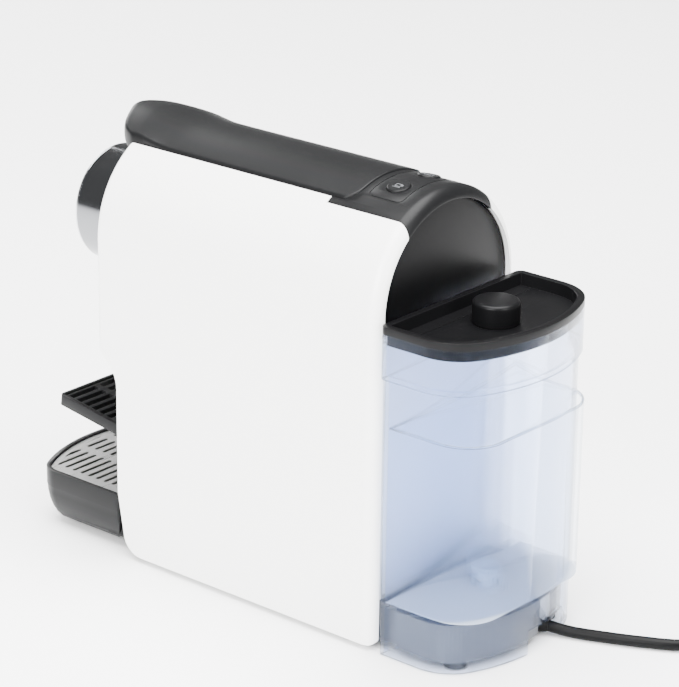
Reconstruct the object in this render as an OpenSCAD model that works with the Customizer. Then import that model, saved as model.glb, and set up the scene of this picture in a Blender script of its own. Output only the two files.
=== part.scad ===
// Pod coffee machine with an arched body, a lifting lever, a pull-out drip tray and a clear water tank.
// Right is +X, up is +Z, the nose and the cup side point to -Y and the water tank to +Y.
// The origin is on the floor, in the middle of the machine's length and width.

/* [Housing] */
// Width across the two side shells, which is also twice the arch's radius
body_w = 114; // [96:1:138]
// Height of the arch's centre above the floor
arch_z = 180; // [172:1:216]
// Depth of the body from its rear face to its front face
body_d = 195; // [190:1:234]
// Depth of the narrower column below the chin, from the rear face
column_d = 180.5; // [178:0.5:190]
// Height at which the chin starts to curve back
chin_z = 127; // [122:1:132]
// Gap between the floor and the underside of the shells
floor_gap = 3; // [2.5:0.5:4]
// Wall of the side shells
shell_t = 2.6; // [2:0.1:3.2]
// Width of the shells' front, rear and bottom edges
shell_edge = 6; // [5:0.5:7]
// Radius of the shells' rear edge
rear_r = 7; // [5:0.5:9]
// Radius of the shells' front edge
front_r = 4; // [2:0.5:6]

/* [Lever] */
// Width of the lever
lever_w = 59; // [49:1:60]
// Thickness of the lever's plate
lever_t = 3.4; // [2.6:0.2:4]
// How far the lever stands proud of the arch
lever_proud = 1; // [0.5:0.1:1.5]
// Distance from the rear face to the lever's rear end
lever_end = 46; // [42:1:48]
// How far the lever's tip reaches past the front face
lever_tip = 23; // [15:1:28]
// Rise of the tip above the rest of the lever
tip_rise = 3; // [1:0.5:4]
// Drop of the hinge axis below the top of the arch
hinge_drop = 17; // [16:0.5:19]
// Distance from the lever's rear end forward to the hinge axis
hinge_back = 14; // [11:0.5:17]
// Radius of the lever's axle
axle_r = 3; // [2.5:0.1:3.5]
// Radial clearance of turning shafts
run_gap = 0.05; // [0.02:0.01:0.1]

/* [Brew unit] */
// Gear module of the sector, the idlers and the racks
gear_m = 1.5; // [1.5:0.1:1.6]
// Teeth on a full circle of the lever's sector
sector_teeth = 26; // [24:2:26]
// Teeth on each idler gear
idler_teeth = 12; // [12:4:16]
// Thickness of the sectors, idlers and racks
gear_w = 5; // [4:0.5:5]
// Distance of the gears' middle from the centre plane
gear_x = 22; // [21:0.5:22]
// Radius of the pod's chamber
pod_r = 16.5; // [15:0.5:17]
// Outer radius of the cage that holds the pod
cage_r = 19; // [18:0.5:20]
// Radius of the nose drum
nose_r = 32.8; // [27:0.1:36]
// Length of the nose drum in front of the body
nose_len = 39; // [32:1:46]
// Lower end of the coffee spout above the floor
spout_z = 134; // [130:1:142]

/* [Panel and buttons] */
// Width of the control panel
panel_w = 66.6; // [64:0.2:70]
// Wall of the control panel
panel_t = 2.6; // [2:0.1:3]
// Radius of each button
button_r = 6.2; // [5.5:0.1:6.6]
// Distance of each button's middle from the centre plane
button_x = 12.2; // [11.5:0.1:13]
// Distance of the buttons from the rear face
button_y = 24.3; // [22:0.1:26]
// Travel of the buttons
button_travel = 1; // [0.6:0.1:1]

/* [Drip tray and shelf] */
// Distance from the rear face to the front of the drip tray
tray_d = 258; // [250:1:270]
// Width of the drip tray
tray_w = 108; // [100:1:112]
// Height of the drip tray's rim
tray_z = 34; // [32:1:37]
// Wall of the drip tray
tray_t = 2.5; // [2:0.1:3]
// Thickness of the drip grid
grid_t = 1.5; // [1.2:0.1:2]
// Distance between the slots of the drip grid
grid_pitch = 6.05; // [5.5:0.05:7]
// Width of the cup shelf
shelf_w = 96.6; // [88:0.2:98]
// Length of the cup shelf from its hinge to its front edge
shelf_len = 49; // [42:1:52]
// Thickness of the cup shelf
shelf_t = 6.2; // [5:0.2:7]
// Tilt of the cup shelf at rest
shelf_tilt = 8.3; // [0:0.1:10]
// Height of the cup shelf's hinge axis
shelf_z = 68.6; // [60:0.2:76]
// Top of the used pod bin
bin_z = 104; // [98:1:106]

/* [Water tank] */
// Width of the water tank's collar
tank_w = 115; // [108:1:120]
// Distance from the body's rear face to the tank's rear
tank_d = 64; // [53:1:77]
// Height of the lid's rim
tank_z = 180; // [165:1:190]
// Height of the step between the collar and the tank's body
collar_z = 152; // [140:1:158]
// Depth of the step below the collar
collar_step = 2; // [1:0.2:3]
// Wall of the water tank
tank_t = 2; // [1.6:0.1:2.4]
// Underside of the tank's floor
tank_floor = 27; // [26:0.5:30]
// Gap between the body and the tank
tank_gap = 1.5; // [1:0.1:3]
// Radius of the lid's knob
knob_r = 12.25; // [10:0.25:14]

/* [Hidden] */
$fn = 96;

// General clearance between pieces that don't touch
gap = 0.5;
// Overlap that keeps a cut clean
cut = 1;
body_r = body_w / 2;
top_z = arch_z + body_r;
inner_x = body_r - shell_edge;
y_shift = (tray_d - tank_d) / 2;

// Lever, hinge and gears
lever_r = body_r + lever_proud;
lever_x = lever_w / 2;
lever_corner = 8;
tip_t = 8.5;
hinge_y = -lever_end - hinge_back;
hinge_z = top_z - hinge_drop;
sector_r = gear_m * sector_teeth / 2;
idler_r = gear_m * idler_teeth / 2;
idler_z = hinge_z - sector_r - idler_r;
rack_z = idler_z - idler_r;
lever_open = 75;
cage_travel = sector_r * lever_open * PI / 180;
idler_shaft_r = 2.5;
backlash = 0.25;
frame_t = 2.5;
frame_x = gear_x + gear_w / 2 + 2;
frame_rim = axle_r + 2.4;
frame_top = hinge_z + frame_rim;
foot_front = -column_d + 28;
foot_rear = 40;
foot_x = 38;
plate_top = floor_gap + 2.7;
upright_y = -92;
shelf_top = 115;

// Brew axis, which is the axis of the nose as well
brew_z = arch_z;
plate_y = -body_d + 6;
plate_t = 4;
bridge_t = 2.2;
cage_front = plate_y + plate_t + gap;
cage_depth = 22;
cage_len = 26;
tube_r = 2.5;
gland_y = cage_front + cage_len + cage_travel + 8;
spout_y = -body_d - 17;
spout_r = 7;
nose_t = 3;

// Tray, grid, bin and shelf
tray_front_r = 95;
tray_corner_r = 14;
tray_back = -column_d - 2.2;
tray_low = 2;
tray_band = 9;
tray_steps = 7;
tray_taper = 13;
tongue_x = inner_x - 1.5;
tongue_floor = floor_gap + 4;
tongue_wall = 13;
tongue_end = -97;
bin_x = tongue_x - 4;
bin_t = 2;
bin_floor = tongue_floor + 2;
shelf_y = -column_d - 4.6;
shelf_pin_r = 1.5;
knuckle_r = 3.4;
ear_w = 4;
shelf_bar = 2.4;
shelf_pitch = 5.8;

// Tank
tank_x = tank_w / 2;
tank_end_r = 95;
tank_corner_r = 28;
tank_front_r = 4;
lid_rim = 4.3;
lid_drop = 6.5;
seat_inset = 8;
seat_top = tank_floor - 1.5;
valve_y = 28;
valve_hole_r = 4;
stub_r = 5.8;
recess_r = 11;

// Cord
cord_d = 6.2;
cord_z = cord_d / 2 + 0.1;
cord_sides = 10;
// Direction in which the cord leaves the base, over the floor
cord_dir = [-0.61, 0.79];
cord_yaw = atan2(cord_dir[1], cord_dir[0]);
// Outer face of the clamp that holds the cord
clamp_pos = [-8, 37, 7];
relief_len = 22;
// The cord's route from the strain relief's tip to the coil
cord_route = [
    [-21.4, 54.4, 5.2], [-23.2, 58.6, 4.4], [-25, 63, 3.7], [-27, 68, 3.3], [-29.4, 73.8, 3.2], [-32.4, 80.6, 3.2],
    [-35.6, 88, 3.2], [-39.2, 95.6, 3.2], [-42.4, 101.8, 3.2], [-45.6, 108, 3.2], [-49.6, 114.8, 3.2],
    [-54.8, 120.6, 3.2], [-60.9, 125.6, 3.2], [-67.7, 129.4, 3.2], [-75.2, 131.9, 3.2], [-82.9, 133.2, 3.2],
    [-90, 133.4, 3.2], [-98, 133.4, 3.2]
];
// Coil of the stored length: its middle, its mean radius and the section of its turns, two wide and two high
coil_pos = [-100, 167.5];
coil_r = 31;
coil_w = 2.06 * cord_d;
coil_h = 2.03 * cord_d;
// The plug lies beside the coil, in line with its outer turn
plug_pos = [coil_pos[0] + 14, coil_pos[1] + coil_r + cord_d / 2];
plug_t = 17;

// ---------------------------------------------------------------- helpers

// Puts a piece that is drawn from the body's rear face into the machine's frame
module place() {
    translate([0, y_shift, 0]) children();
}

// Points of an arc
function arc(c, r, a0, a1, n) = [for (i = [0 : n]) let (a = a0 + (a1 - a0) * i / n) c + r * [cos(a), sin(a)]];

// Half-width w, straight front at y0, bowed end at y1 with end radius re and corner radius rc, inset by d
function d_outline(w, y0, y1, re, rc, rf, d) =
    let (xc = w - rc)
    let (cy = y1 - re)
    let (yc = cy + sqrt(pow(re - rc, 2) - xc * xc))
    let (split = atan2(yc - cy, xc))
    let (fr = max(rf - d, 0.4))
    let (right = concat(
        arc([w - d - fr, y0 + d + fr], fr, -90, 0, 6),
        arc([xc, yc], rc - d, 0, split, 10),
        arc([0, cy], re - d, split, 90, 8)))
    concat(right, [for (i = [len(right) - 2 : -1 : 0]) [-right[i][0], right[i][1]]]);

module tank_outline(d) {
    polygon(d_outline(tank_x, tank_gap, tank_d, tank_end_r, tank_corner_r, tank_front_r, d));
}

module tray_outline(d) {
    mirror([0, 1])
        polygon(d_outline(tray_w / 2, -tray_back, tray_d, tray_front_r, tray_corner_r, 2, d));
}

module slab(z0, z1) {
    translate([0, 0, z0]) linear_extrude(z1 - z0) children();
}

// Turns a profile of radius and depth about the arch's axis; depth runs forward from the rear face
module about_arch() {
    translate([0, 0, arch_z]) rotate([90, 0, 0]) children();
}

module tube(r_out, r_in, h) {
    difference() {
        cylinder(r = r_out, h = h);
        translate([0, 0, -cut]) cylinder(r = r_in, h = h + 2 * cut);
    }
}

// A cylinder along X, centred on its middle
module along_x(r, l) {
    rotate([0, 90, 0]) cylinder(r = r, h = l, center = true);
}

// A cylinder from the origin towards -Y
module forward(r, l) {
    rotate([90, 0, 0]) cylinder(r = r, h = l);
}

// A cylinder from the origin towards +Y
module backward(r, l) {
    rotate([-90, 0, 0]) cylinder(r = r, h = l);
}

module corner_cut(r) {
    difference() {
        square(r + cut);
        circle(r);
    }
}

// Half plan of the body inset by d: X is the distance from the centre plane, Y the depth from the rear face
module edge_profile(d) {
    difference() {
        translate([0, d]) square([body_r - d, body_d - 2 * d]);
        translate([body_r - rear_r, rear_r]) mirror([0, 1]) corner_cut(rear_r - d);
        translate([body_r - front_r, body_d - front_r]) corner_cut(front_r - d);
    }
}

chin_r1 = 16;
chin_r2 = 18;
// Side view of the body inset by d, as (Y, Z)
function side_points(d) =
    let (step = body_d - column_d)
    let (run = step - (chin_r1 + chin_r2) * (1 - cos(45)))
    let (c1 = [-body_d + chin_r1, chin_z])
    let (c2 = [-column_d - chin_r2, chin_z - (chin_r1 + chin_r2) * sin(45) - run])
    concat(
        [[-d, top_z + cut], [-body_d + d, top_z + cut]],
        arc(c1, chin_r1 - d, 180, 225, 6),
        arc(c2, chin_r2 + d, 45, 0, 6),
        [[-column_d + d, 38]],
        arc([-column_d + 16.5, floor_gap + 12.5], 12.5 - d, 184, 270, 8),
        arc([-3.5, floor_gap + 3.5], 3.5 - d, 270, 360, 5));

// Prism across the whole width from points given as (Y, Z)
module across(points, half) {
    translate([-half, 0, 0]) rotate([90, 0, 90]) linear_extrude(2 * half) polygon(points);
}

module body_solid(d) {
    intersection() {
        across(side_points(d), body_r + cut);
        union() {
            about_arch() rotate_extrude() edge_profile(d);
            translate([0, 0, -cut]) linear_extrude(arch_z + cut) mirror([0, 1]) {
                edge_profile(d);
                mirror([1, 0]) edge_profile(d);
            }
        }
    }
}

// Arched prism of radius r between two depths; it reaches down to z0
module arch_prism(r, y0, y1, z0) {
    translate([0, y1, 0]) rotate([90, 0, 0]) linear_extrude(y1 - y0) {
        translate([0, arch_z]) circle(r);
        translate([-r, z0]) square([2 * r, arch_z - z0]);
    }
}

// Tube swept along points
function unit(v) = v / norm(v);
function dir_at(p, i) = unit(p[min(i + 1, len(p) - 1)] - p[max(i - 1, 0)]);
function ring(c, t, r, n) =
    let (s = unit(cross(t, abs(t[2]) > 0.9 ? [1, 0, 0] : [0, 0, 1])))
    let (u = cross(s, t))
    [for (k = [0 : n - 1]) c + r * (cos(360 * k / n) * s + sin(360 * k / n) * u)];

module sweep(p, r, n) {
    rings = len(p);
    points = [for (i = [0 : rings - 1]) each ring(p[i], dir_at(p, i), r, n)];
    sides = [for (i = [0 : rings - 2], k = [0 : n - 1])
        let (low = i * n + k, low2 = i * n + (k + 1) % n)
        each [[low, low2, low2 + n], [low, low2 + n, low + n]]];
    ends = [[for (k = [n - 1 : -1 : 0]) k], [for (k = [0 : n - 1]) (rings - 1) * n + k]];
    polyhedron(points = points, faces = concat(sides, ends), convexity = 6);
}

// ---------------------------------------------------------------- gears

// Involute gear outline with backlash; a tooth is centred on +Y
function involute(rb, a) = let (t = a * PI / 180) rb * [sin(a) - t * cos(a), cos(a) + t * sin(a)];
function roll(rb, r) = sqrt(pow(r / rb, 2) - 1) * 180 / PI;
function inv_angle(rb, r) = roll(rb, r) - atan(roll(rb, r) * PI / 180);
function tooth(z, k) =
    let (rp = gear_m * z / 2)
    let (rb = rp * cos(20))
    let (ra = rp + 0.9 * gear_m)
    let (rf = rp - 1.2 * gear_m)
    let (half = 90 / z - backlash / rp * 180 / PI / 2 + inv_angle(rb, rp))
    let (rs = max(rb, rf))
    let (flank = [for (i = [0 : 4]) let (r = rs + (ra - rs) * i / 4) let (a = half - inv_angle(rb, r)) [r, a]])
    let (turn = 360 * k / z)
    concat(
        [rf * [sin(turn - half), cos(turn - half)]],
        [for (f = flank) f[0] * [sin(turn - f[1]), cos(turn - f[1])]],
        [for (i = [4 : -1 : 0]) flank[i][0] * [sin(turn + flank[i][1]), cos(turn + flank[i][1])]],
        [rf * [sin(turn + half), cos(turn + half)]]);

module gear_outline(z) {
    polygon([for (k = [0 : z - 1]) each tooth(z, k)]);
}

// Draws a (Y, Z) outline as a plate about the gears' middle on both sides
module both_gears() {
    for (s = [-1, 1]) translate([s * gear_x - gear_w / 2, 0, 0]) rotate([90, 0, 90])
        linear_extrude(gear_w) children();
}

// ---------------------------------------------------------------- housing

function base_screw_pos() = [[-30, -84], [30, -84], [-30, -14], [30, -14]];

module base_chassis() {
    color("dimgray") place() {
        difference() {
            union() {
                // floor plate under the bin and the pump
                translate([-inner_x + gap, -column_d + 16, floor_gap + 0.2])
                    cube([2 * (inner_x - gap), column_d - 18, plate_top - floor_gap - 0.2]);
                // bulkhead behind the tray's tongue
                translate([-inner_x + gap, tongue_end + 3, plate_top]) cube([2 * (inner_x - gap), 2, 24]);
                seat_block();
                uprights();
            }
            seat_cuts();
            for (x = [-foot_x, foot_x], y = [foot_front, foot_rear])
                translate([x, y, -cut]) cylinder(r = 3, h = 13);
            for (p = base_screw_pos()) translate([p[0], p[1], 0]) cylinder(r = 1.5, h = 10);
            for (s = [-1, 1]) translate([s * 40, upright_y + 3, frame_low() - 10]) cylinder(r = 1.5, h = 12);
        }
        // stub that opens the tank's valve
        translate([0, valve_y, seat_top - 8]) tube(stub_r - 1, 2.5, 8.3);
    }
}

// Two posts behind the pod bin that carry the brew frame and the heater's shelf
module uprights() {
    for (s = [-1, 1]) translate([s * 40 - 4, upright_y, plate_top]) cube([8, 6, frame_low() - plate_top]);
    translate([-44, upright_y, shelf_top - 2.5]) cube([88, 54, 2.5]);
}

function frame_low() = brew_z - 26;

// Block under the tank, hollow from below, and its neck into the body
module seat_block() {
    ceiling = seat_top - 10.5;
    neck_x = inner_x - gap - 4;
    neck_end = tank_gap + seat_inset + 2;
    difference() {
        union() {
            slab(4, seat_top) tank_outline(seat_inset);
            translate([-neck_x, -6, floor_gap + 0.2]) cube([2 * neck_x, 6 + neck_end, seat_top - floor_gap - 0.2]);
        }
        slab(0, ceiling) tank_outline(seat_inset + 2.5);
        translate([-neck_x + 5, -20, 0]) cube([2 * neck_x - 10, 20 + neck_end + 1, ceiling]);
    }
    // pads over the two rear feet
    for (x = [-foot_x, foot_x]) translate([x, foot_rear, 4]) cylinder(r = 6, h = 12);
    // rib behind the cord clamp
    translate([clamp_pos[0], clamp_pos[1], 4]) rotate([0, 0, cord_yaw]) translate([-8, -8, 0]) cube([3, 16, 12]);
}

module seat_cuts() {
    // recess for the tank's valve collar
    translate([0, valve_y, seat_top - 8]) cylinder(r = recess_r, h = 20);
    // channel for the strain relief and the cord
    translate([clamp_pos[0], clamp_pos[1], -cut]) rotate([0, 0, cord_yaw]) translate([0, -8, 0])
        cube([60, 16, cut + 14.5]);
    // duct under the valve stub
    translate([0, valve_y, 5]) cylinder(r = 2.5, h = 20);
}

module rubber_feet() {
    color("#2a2b2d") place() for (x = [-foot_x, foot_x]) {
        translate([x, foot_front, 0]) {
            cylinder(r = 7, h = floor_gap + 0.2);
            cylinder(r = 3, h = plate_top);
        }
        translate([x, foot_rear, 0]) {
            cylinder(r = 6, h = 4);
            cylinder(r = 3, h = 12);
        }
    }
}

module side_shell(s) {
    place() difference() {
        intersection() {
            body_solid(0);
            translate([s > 0 ? 0 : -body_w, -body_d - cut, 0]) cube([body_w, body_d + 2 * cut, 2 * top_z]);
        }
        body_solid(shell_t);
        // window inside the shell's front, rear and bottom edges
        arch_prism(inner_x, -body_d - cut, cut, -cut);
        // opening for the lever
        translate([-lever_x - gap, -body_d - cut, arch_z])
            cube([lever_w + 2 * gap, body_d + 2 * cut, body_w]);
        // wider opening for the control panel
        translate([-panel_w / 2 - 0.3, panel_front() - 0.3, arch_z])
            cube([panel_w + 0.6, -panel_front() + cut, body_w]);
    }
}

function panel_front() = -lever_end - lever_corner + 1;

module side_shell_left() {
    color("#f2f2f0") side_shell(-1);
}

module side_shell_right() {
    color("#f2f2f0") side_shell(1);
}

// Dark face between the shells' front edges, above the pod bin
module front_panel() {
    color("#2c2d2f") place() difference() {
        intersection() {
            across(side_points(0.8), inner_x - 0.3);
            arch_prism(inner_x - 0.3, -body_d, -column_d + 12, bin_z + gap);
            translate([-body_r, -body_d, bin_z + gap]) cube([body_w, body_d - column_d + 3, body_w * 2]);
        }
        across(side_points(3.3), body_r);
        about_arch() translate([0, 0, body_d - 20]) cylinder(r = nose_r + 0.3, h = 40);
    }
}

module back_panel() {
    color("#eceded") place() translate([-inner_x + 0.4, -5.5, seat_top + gap])
        cube([2 * inner_x - 0.8, 2.5, arch_z - 14 - seat_top - gap]);
}

module rear_cover() {
    color("#1b1b1d") place() intersection() {
        arch_prism(inner_x - 0.4, -5.5, -3, arch_z - 13.6);
        translate([-body_r, -10, arch_z - 13.6]) cube([body_w, 10, body_w]);
    }
}

// ---------------------------------------------------------------- control panel

// Section of the panel: radius and depth from the rear face
module panel_section() {
    r1 = body_r;
    bead = 7;
    difference() {
        union() {
            translate([r1 - panel_t, bead]) square([panel_t, -panel_front() - bead]);
            translate([r1 - bead, bead]) intersection() {
                difference() {
                    circle(bead);
                    circle(bead - panel_t);
                }
                translate([0, -bead]) square(bead);
            }
            translate([r1 - bead - 0.6, 0]) square([0.7, panel_t]);
        }
        translate([0, -10]) square([inner_x - 0.3, 400]);
    }
}

module at_button(s) {
    translate([0, -button_y, arch_z]) rotate([0, s * asin(button_x / body_r), 0]) children();
}

// Barrel about the hinge axis that the lever's rear end sweeps
module lever_sweep(grow) {
    pts = [for (x = [-lever_x : lever_x / 10 : lever_x + 0.01])
        [norm([hinge_back, arch_z + sqrt(lever_r * lever_r - x * x) - hinge_z]) + grow, x]];
    translate([0, hinge_y, hinge_z]) rotate([0, 90, 0])
        rotate_extrude() polygon(concat([[0, -lever_x - grow], [pts[0][0], -lever_x - grow]], pts,
            [[pts[len(pts) - 1][0], lever_x + grow], [0, lever_x + grow]]));
}

module control_panel() {
    island_x = 24;
    island_y = 11;
    post_x = 21;
    post_top = arch_z + sqrt(pow(body_r - panel_t / 2, 2) - post_x * post_x);
    color("#303134") place() difference() {
        union() {
            intersection() {
                about_arch() rotate_extrude() panel_section();
                translate([-panel_w / 2, panel_front(), arch_z]) cube([panel_w, -panel_front(), body_w]);
            }
            // posts for the button board
            for (x = [-post_x, post_x], y = [board_front() + 3, -button_y + 9])
                translate([x, y, board_z() + 1.6]) cylinder(r = 1.6, h = post_top - board_z() - 1.6);
        }
        lever_sweep(0.4);
        // plan opening for the lever's rear end
        slab(arch_z, top_z + cut) lever_plan(0.5);
        // groove round the island of the buttons
        intersection() {
            about_arch() rotate_extrude() translate([body_r - 0.35, 0]) square([2, 80]);
            slab(arch_z, top_z + cut) difference() {
                island(island_x, island_y);
                island(island_x - 0.5, island_y - 0.5);
            }
        }
        for (s = [-1, 1]) at_button(s) cylinder(r = button_r + 0.25, h = body_r + 5);
    }
}

module island(hx, hy) {
    r = 3;
    translate([0, -button_y]) {
        square([2 * hx, 2 * (hy - r)], center = true);
        square([2 * (hx - r), 2 * hy], center = true);
        for (i = [-1, 1], j = [-1, 1]) translate([i * (hx - r), j * (hy - r)]) circle(r);
    }
}

function board_z() = top_z - 17.6;
function board_front() = hinge_y + norm([hinge_back, hinge_drop + lever_proud]) + 1;

module button(s) {
    place() at_button(s) {
        translate([0, 0, body_r - 5]) cylinder(r = button_r, h = 5.2);
        translate([0, 0, body_r + 0.2]) cylinder(r1 = button_r, r2 = button_r - 0.6, h = 0.5);
        translate([0, 0, body_r - 5]) cylinder(r = button_r + 0.9, h = 1);
        translate([0, 0, body_r - 11]) cylinder(r = 2, h = 7);
    }
}

module button_small_cup() {
    color("#3a3b3e") button(1);
}

module button_large_cup() {
    color("#3a3b3e") button(-1);
}

module button_board() {
    color("darkgreen") place() {
        translate([-23, board_front(), board_z()]) cube([46, 12 - button_y - board_front(), 1.6]);
        for (s = [-1, 1])
            translate([s * 10 - 3, -button_y - 3, board_z() + 1.6]) cube([6, 6, 2]);
        translate([-5, -button_y + 5, board_z() + 1.6]) cube([10, 6, 4]);
    }
}

// Dark deck between the frame's sides, with the slot that takes the pod
module top_deck() {
    deck_r = lever_r - lever_t - 1;
    slot_front = cage_front;
    slot_back = cage_front + cage_travel;
    color("#26272a") place() difference() {
        intersection() {
            arch_prism(deck_r, -body_d + 4, hinge_y - 13, arch_z - 1);
            translate([-frame_x + 0.3, -body_d, arch_z]) cube([2 * frame_x - 0.6, body_d, body_w]);
        }
        arch_prism(deck_r - 2, -body_d - cut, cut, 0);
        translate([-pod_r - 2, slot_front, arch_z]) cube([2 * pod_r + 4, slot_back - slot_front, body_w]);
    }
}

// ---------------------------------------------------------------- lever

// Plan of the lever grown by d, from its tip to its rear end
module lever_plan(d) {
    front = -body_d - lever_tip;
    half = lever_x + d;
    tip_r = 14;
    difference() {
        translate([-half, front - d]) square([2 * half, -lever_end + d - front + d]);
        // rounded rear corners
        for (s = [0, 1]) mirror([s, 0, 0]) {
            translate([lever_x - lever_corner, -lever_end - lever_corner]) corner_cut(lever_corner + d);
            translate([lever_x - tip_r, front + tip_r]) mirror([0, 1]) corner_cut(tip_r + d);
        }
    }
}

module lever() {
    rise_y = -body_d + 12;
    color("#303134") place() difference() {
        union() {
            difference() {
                intersection() {
                    slab(arch_z, top_z + 20) lever_plan(0);
                    union() {
                        arch_prism(lever_r, rise_y, -lever_end + cut, arch_z - 1);
                        lever_front();
                    }
                }
                arch_prism(lever_r - lever_t, -body_d - 6, 10, 0);
            }
            lever_arms();
        }
        translate([0, hinge_y, hinge_z]) along_x(axle_r, 4 * lever_x);
    }
}

// Thicker tip that sweeps up in front of the body
module lever_front() {
    n = 3;
    front = -body_d - lever_tip;
    rise_y = -body_d + 12;
    function y_at(i) = rise_y + (front - rise_y) * i / n;
    function lift(i) = tip_rise * pow(i / n, 2);
    difference() {
        for (i = [0 : n - 1]) hull() {
            translate([0, 0, lift(i)]) arch_prism(lever_r, y_at(i), y_at(i) + 0.01, arch_z - 1);
            translate([0, 0, lift(i + 1)]) arch_prism(lever_r, y_at(i + 1), y_at(i + 1) + 0.01, arch_z - 1);
        }
        translate([0, 0, tip_rise / 2]) arch_prism(lever_r - tip_t, front - cut, rise_y + cut, 0);
    }
}

// Arms that hang from the lever's rear end, each with its gear sector
module lever_arms() {
    far = 2 * sector_r;
    intersection() {
        both_gears() {
            translate([hinge_y, hinge_z]) circle(7);
            translate([hinge_y - 9, hinge_z]) square([8 + hinge_back, lever_r]);
            // teeth from just ahead of the lowest point round to the rear
            translate([hinge_y, hinge_z]) intersection() {
                rotate(180 / sector_teeth) gear_outline(sector_teeth);
                polygon([[0, 0], far * [-sin(18), -cos(18)], far * [0, -1], far * [1, -1], far * [cos(9), sin(9)]]);
            }
        }
        arch_prism(lever_r - lever_t / 2, -body_d, 0, 0);
    }
}

module lever_axle() {
    color("silver") place() translate([0, hinge_y, hinge_z]) along_x(axle_r, 2 * (frame_x + frame_t) - 0.4);
}

module idler_gears() {
    color("ivory") place() translate([0, hinge_y, idler_z]) {
        along_x(idler_shaft_r, 2 * (frame_x + frame_t) - 0.4);
        both_gears() gear_outline(idler_teeth);
    }
}

// ---------------------------------------------------------------- brew unit

module brew_frame() {
    color("#4a4c50") place() difference() {
        union() {
            for (s = [-1, 1]) translate([s > 0 ? frame_x : -frame_x - frame_t, 0, 0]) {
                rotate([90, 0, 90]) linear_extrude(frame_t) polygon([
                    [plate_y - bridge_t, frame_low()], [plate_y - bridge_t, frame_top - 6], [plate_y + 6, frame_top],
                    [hinge_y, frame_top], [hinge_y + 0.64 * frame_rim, hinge_z - 0.76 * frame_rim],
                    [hinge_y + 6, hinge_z - 9.2], [hinge_y + 12, hinge_z - 18], [hinge_y + 12, rack_z - 12],
                    [hinge_y - 16, frame_low()]]);
                translate([frame_t / 2, hinge_y, hinge_z]) along_x(frame_rim, frame_t);
            }
            // front bridge behind the extraction plate
            translate([-frame_x - 0.1, plate_y - bridge_t, frame_low()]) cube([2 * frame_x + 0.2, bridge_t, 50]);
            // lower ties; the rear one rests on the uprights
            for (y = [gland_y, -body_d + 60])
                translate([-frame_x - 0.1, y, frame_low()]) cube([2 * frame_x + 0.2, 8, 2.5]);
            translate([-44, upright_y, frame_low()]) cube([88, 8, 2.5]);
            // post for the inlet gland
            translate([-6, gland_y, frame_low()]) cube([12, 8, 20]);
        }
        translate([0, hinge_y, hinge_z]) along_x(axle_r + run_gap, 4 * lever_x);
        translate([0, hinge_y, idler_z]) along_x(idler_shaft_r + run_gap, 4 * lever_x);
        translate([0, -body_d + 20, brew_z]) forward(4, 40);
        for (s = [-1, 1]) translate([s * 40, upright_y + 3, frame_low() - cut]) cylinder(r = 1.5, h = 10);
    }
}

module frame_screws() {
    color("silver") place() for (s = [-1, 1]) translate([s * 40, upright_y + 3, frame_low() + 2.5]) {
        translate([0, 0, -10]) cylinder(r = 1.5, h = 10);
        difference() {
            cylinder(r = 3, h = 2);
            translate([0, 0, 1]) cylinder(r = 1.6, h = 2, $fn = 6);
        }
    }
}

module brew_cage() {
    y0 = cage_front;
    y1 = cage_front + cage_len;
    color("#8d9094") place() {
        difference() {
            union() {
                translate([0, y0, brew_z]) backward(cage_r, cage_len);
                // wings that carry the racks
                for (s = [-1, 1]) translate([s > 0 ? 10 : -gear_x - gear_w / 2, y1 - 12, rack_z - 8])
                    cube([gear_x + gear_w / 2 - 10, 12, 8 - 1.3 * gear_m - 0.4]);
                cage_racks(y1);
            }
            translate([0, y0 - cut, brew_z]) backward(pod_r, cage_depth + cut);
            translate([0, y0, brew_z]) backward(tube_r, cage_len + cut);
        }
    }
}

// Toothed bars under the idlers; a gap between teeth lies under the idlers' axis
module cage_racks(y1) {
    pitch = PI * gear_m;
    low = rack_z - 1.25 * gear_m;
    bottom = rack_z - 8;
    bar_end = hinge_y + 8;
    half = pitch / 4 - backlash / 2;
    flank = tan(20) * gear_m;
    count = ceil((cage_travel + 14) / pitch);
    both_gears() {
        translate([y1 - 6, bottom]) square([bar_end - y1 + 6, low - bottom]);
        for (k = [-1 : count]) translate([hinge_y - (k + 0.5) * pitch + pitch, rack_z])
            polygon([[-half - 1.25 * flank, -1.26 * gear_m], [half + 1.25 * flank, -1.26 * gear_m],
                [half - 0.9 * flank, 0.9 * gear_m], [-half + 0.9 * flank, 0.9 * gear_m]]);
    }
}

module piercing_plate() {
    y = cage_front + cage_depth;
    color("silver") place() difference() {
        union() {
            translate([0, y - 1.5, brew_z]) backward(pod_r - 0.2, 1.5);
            for (a = [90, 210, 330]) translate([7 * cos(a), y - 1.5, brew_z + 7 * sin(a)])
                rotate([90, 0, 0]) cylinder(r1 = 1.8, r2 = 0.3, h = 5);
        }
        translate([0, y - 8, brew_z]) backward(1.2, 20);
    }
}

module brew_tube() {
    y = cage_front + cage_depth;
    color("silver") place() difference() {
        translate([0, y, brew_z]) backward(tube_r, gland_y + 8 - y - 1);
        translate([0, y - cut, brew_z]) backward(1.2, 200);
    }
}

module inlet_gland() {
    color("#b08d57") place() difference() {
        union() {
            translate([0, gland_y, brew_z]) backward(6, 8);
            // side port that takes the hose
            translate([4, gland_y + 4, brew_z]) rotate([0, 90, 0]) cylinder(r = 2, h = 6);
        }
        translate([0, gland_y - cut, brew_z]) backward(tube_r + run_gap, 12);
    }
}

module extraction_plate() {
    color("silver") place() difference() {
        translate([0, plate_y, brew_z]) backward(pod_r, plate_t);
        for (a = [0 : 45 : 315], r = [4, 8, 12])
            translate([r * cos(a), plate_y - cut, brew_z + r * sin(a)]) backward(0.8, plate_t + 2 * cut);
    }
}

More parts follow.
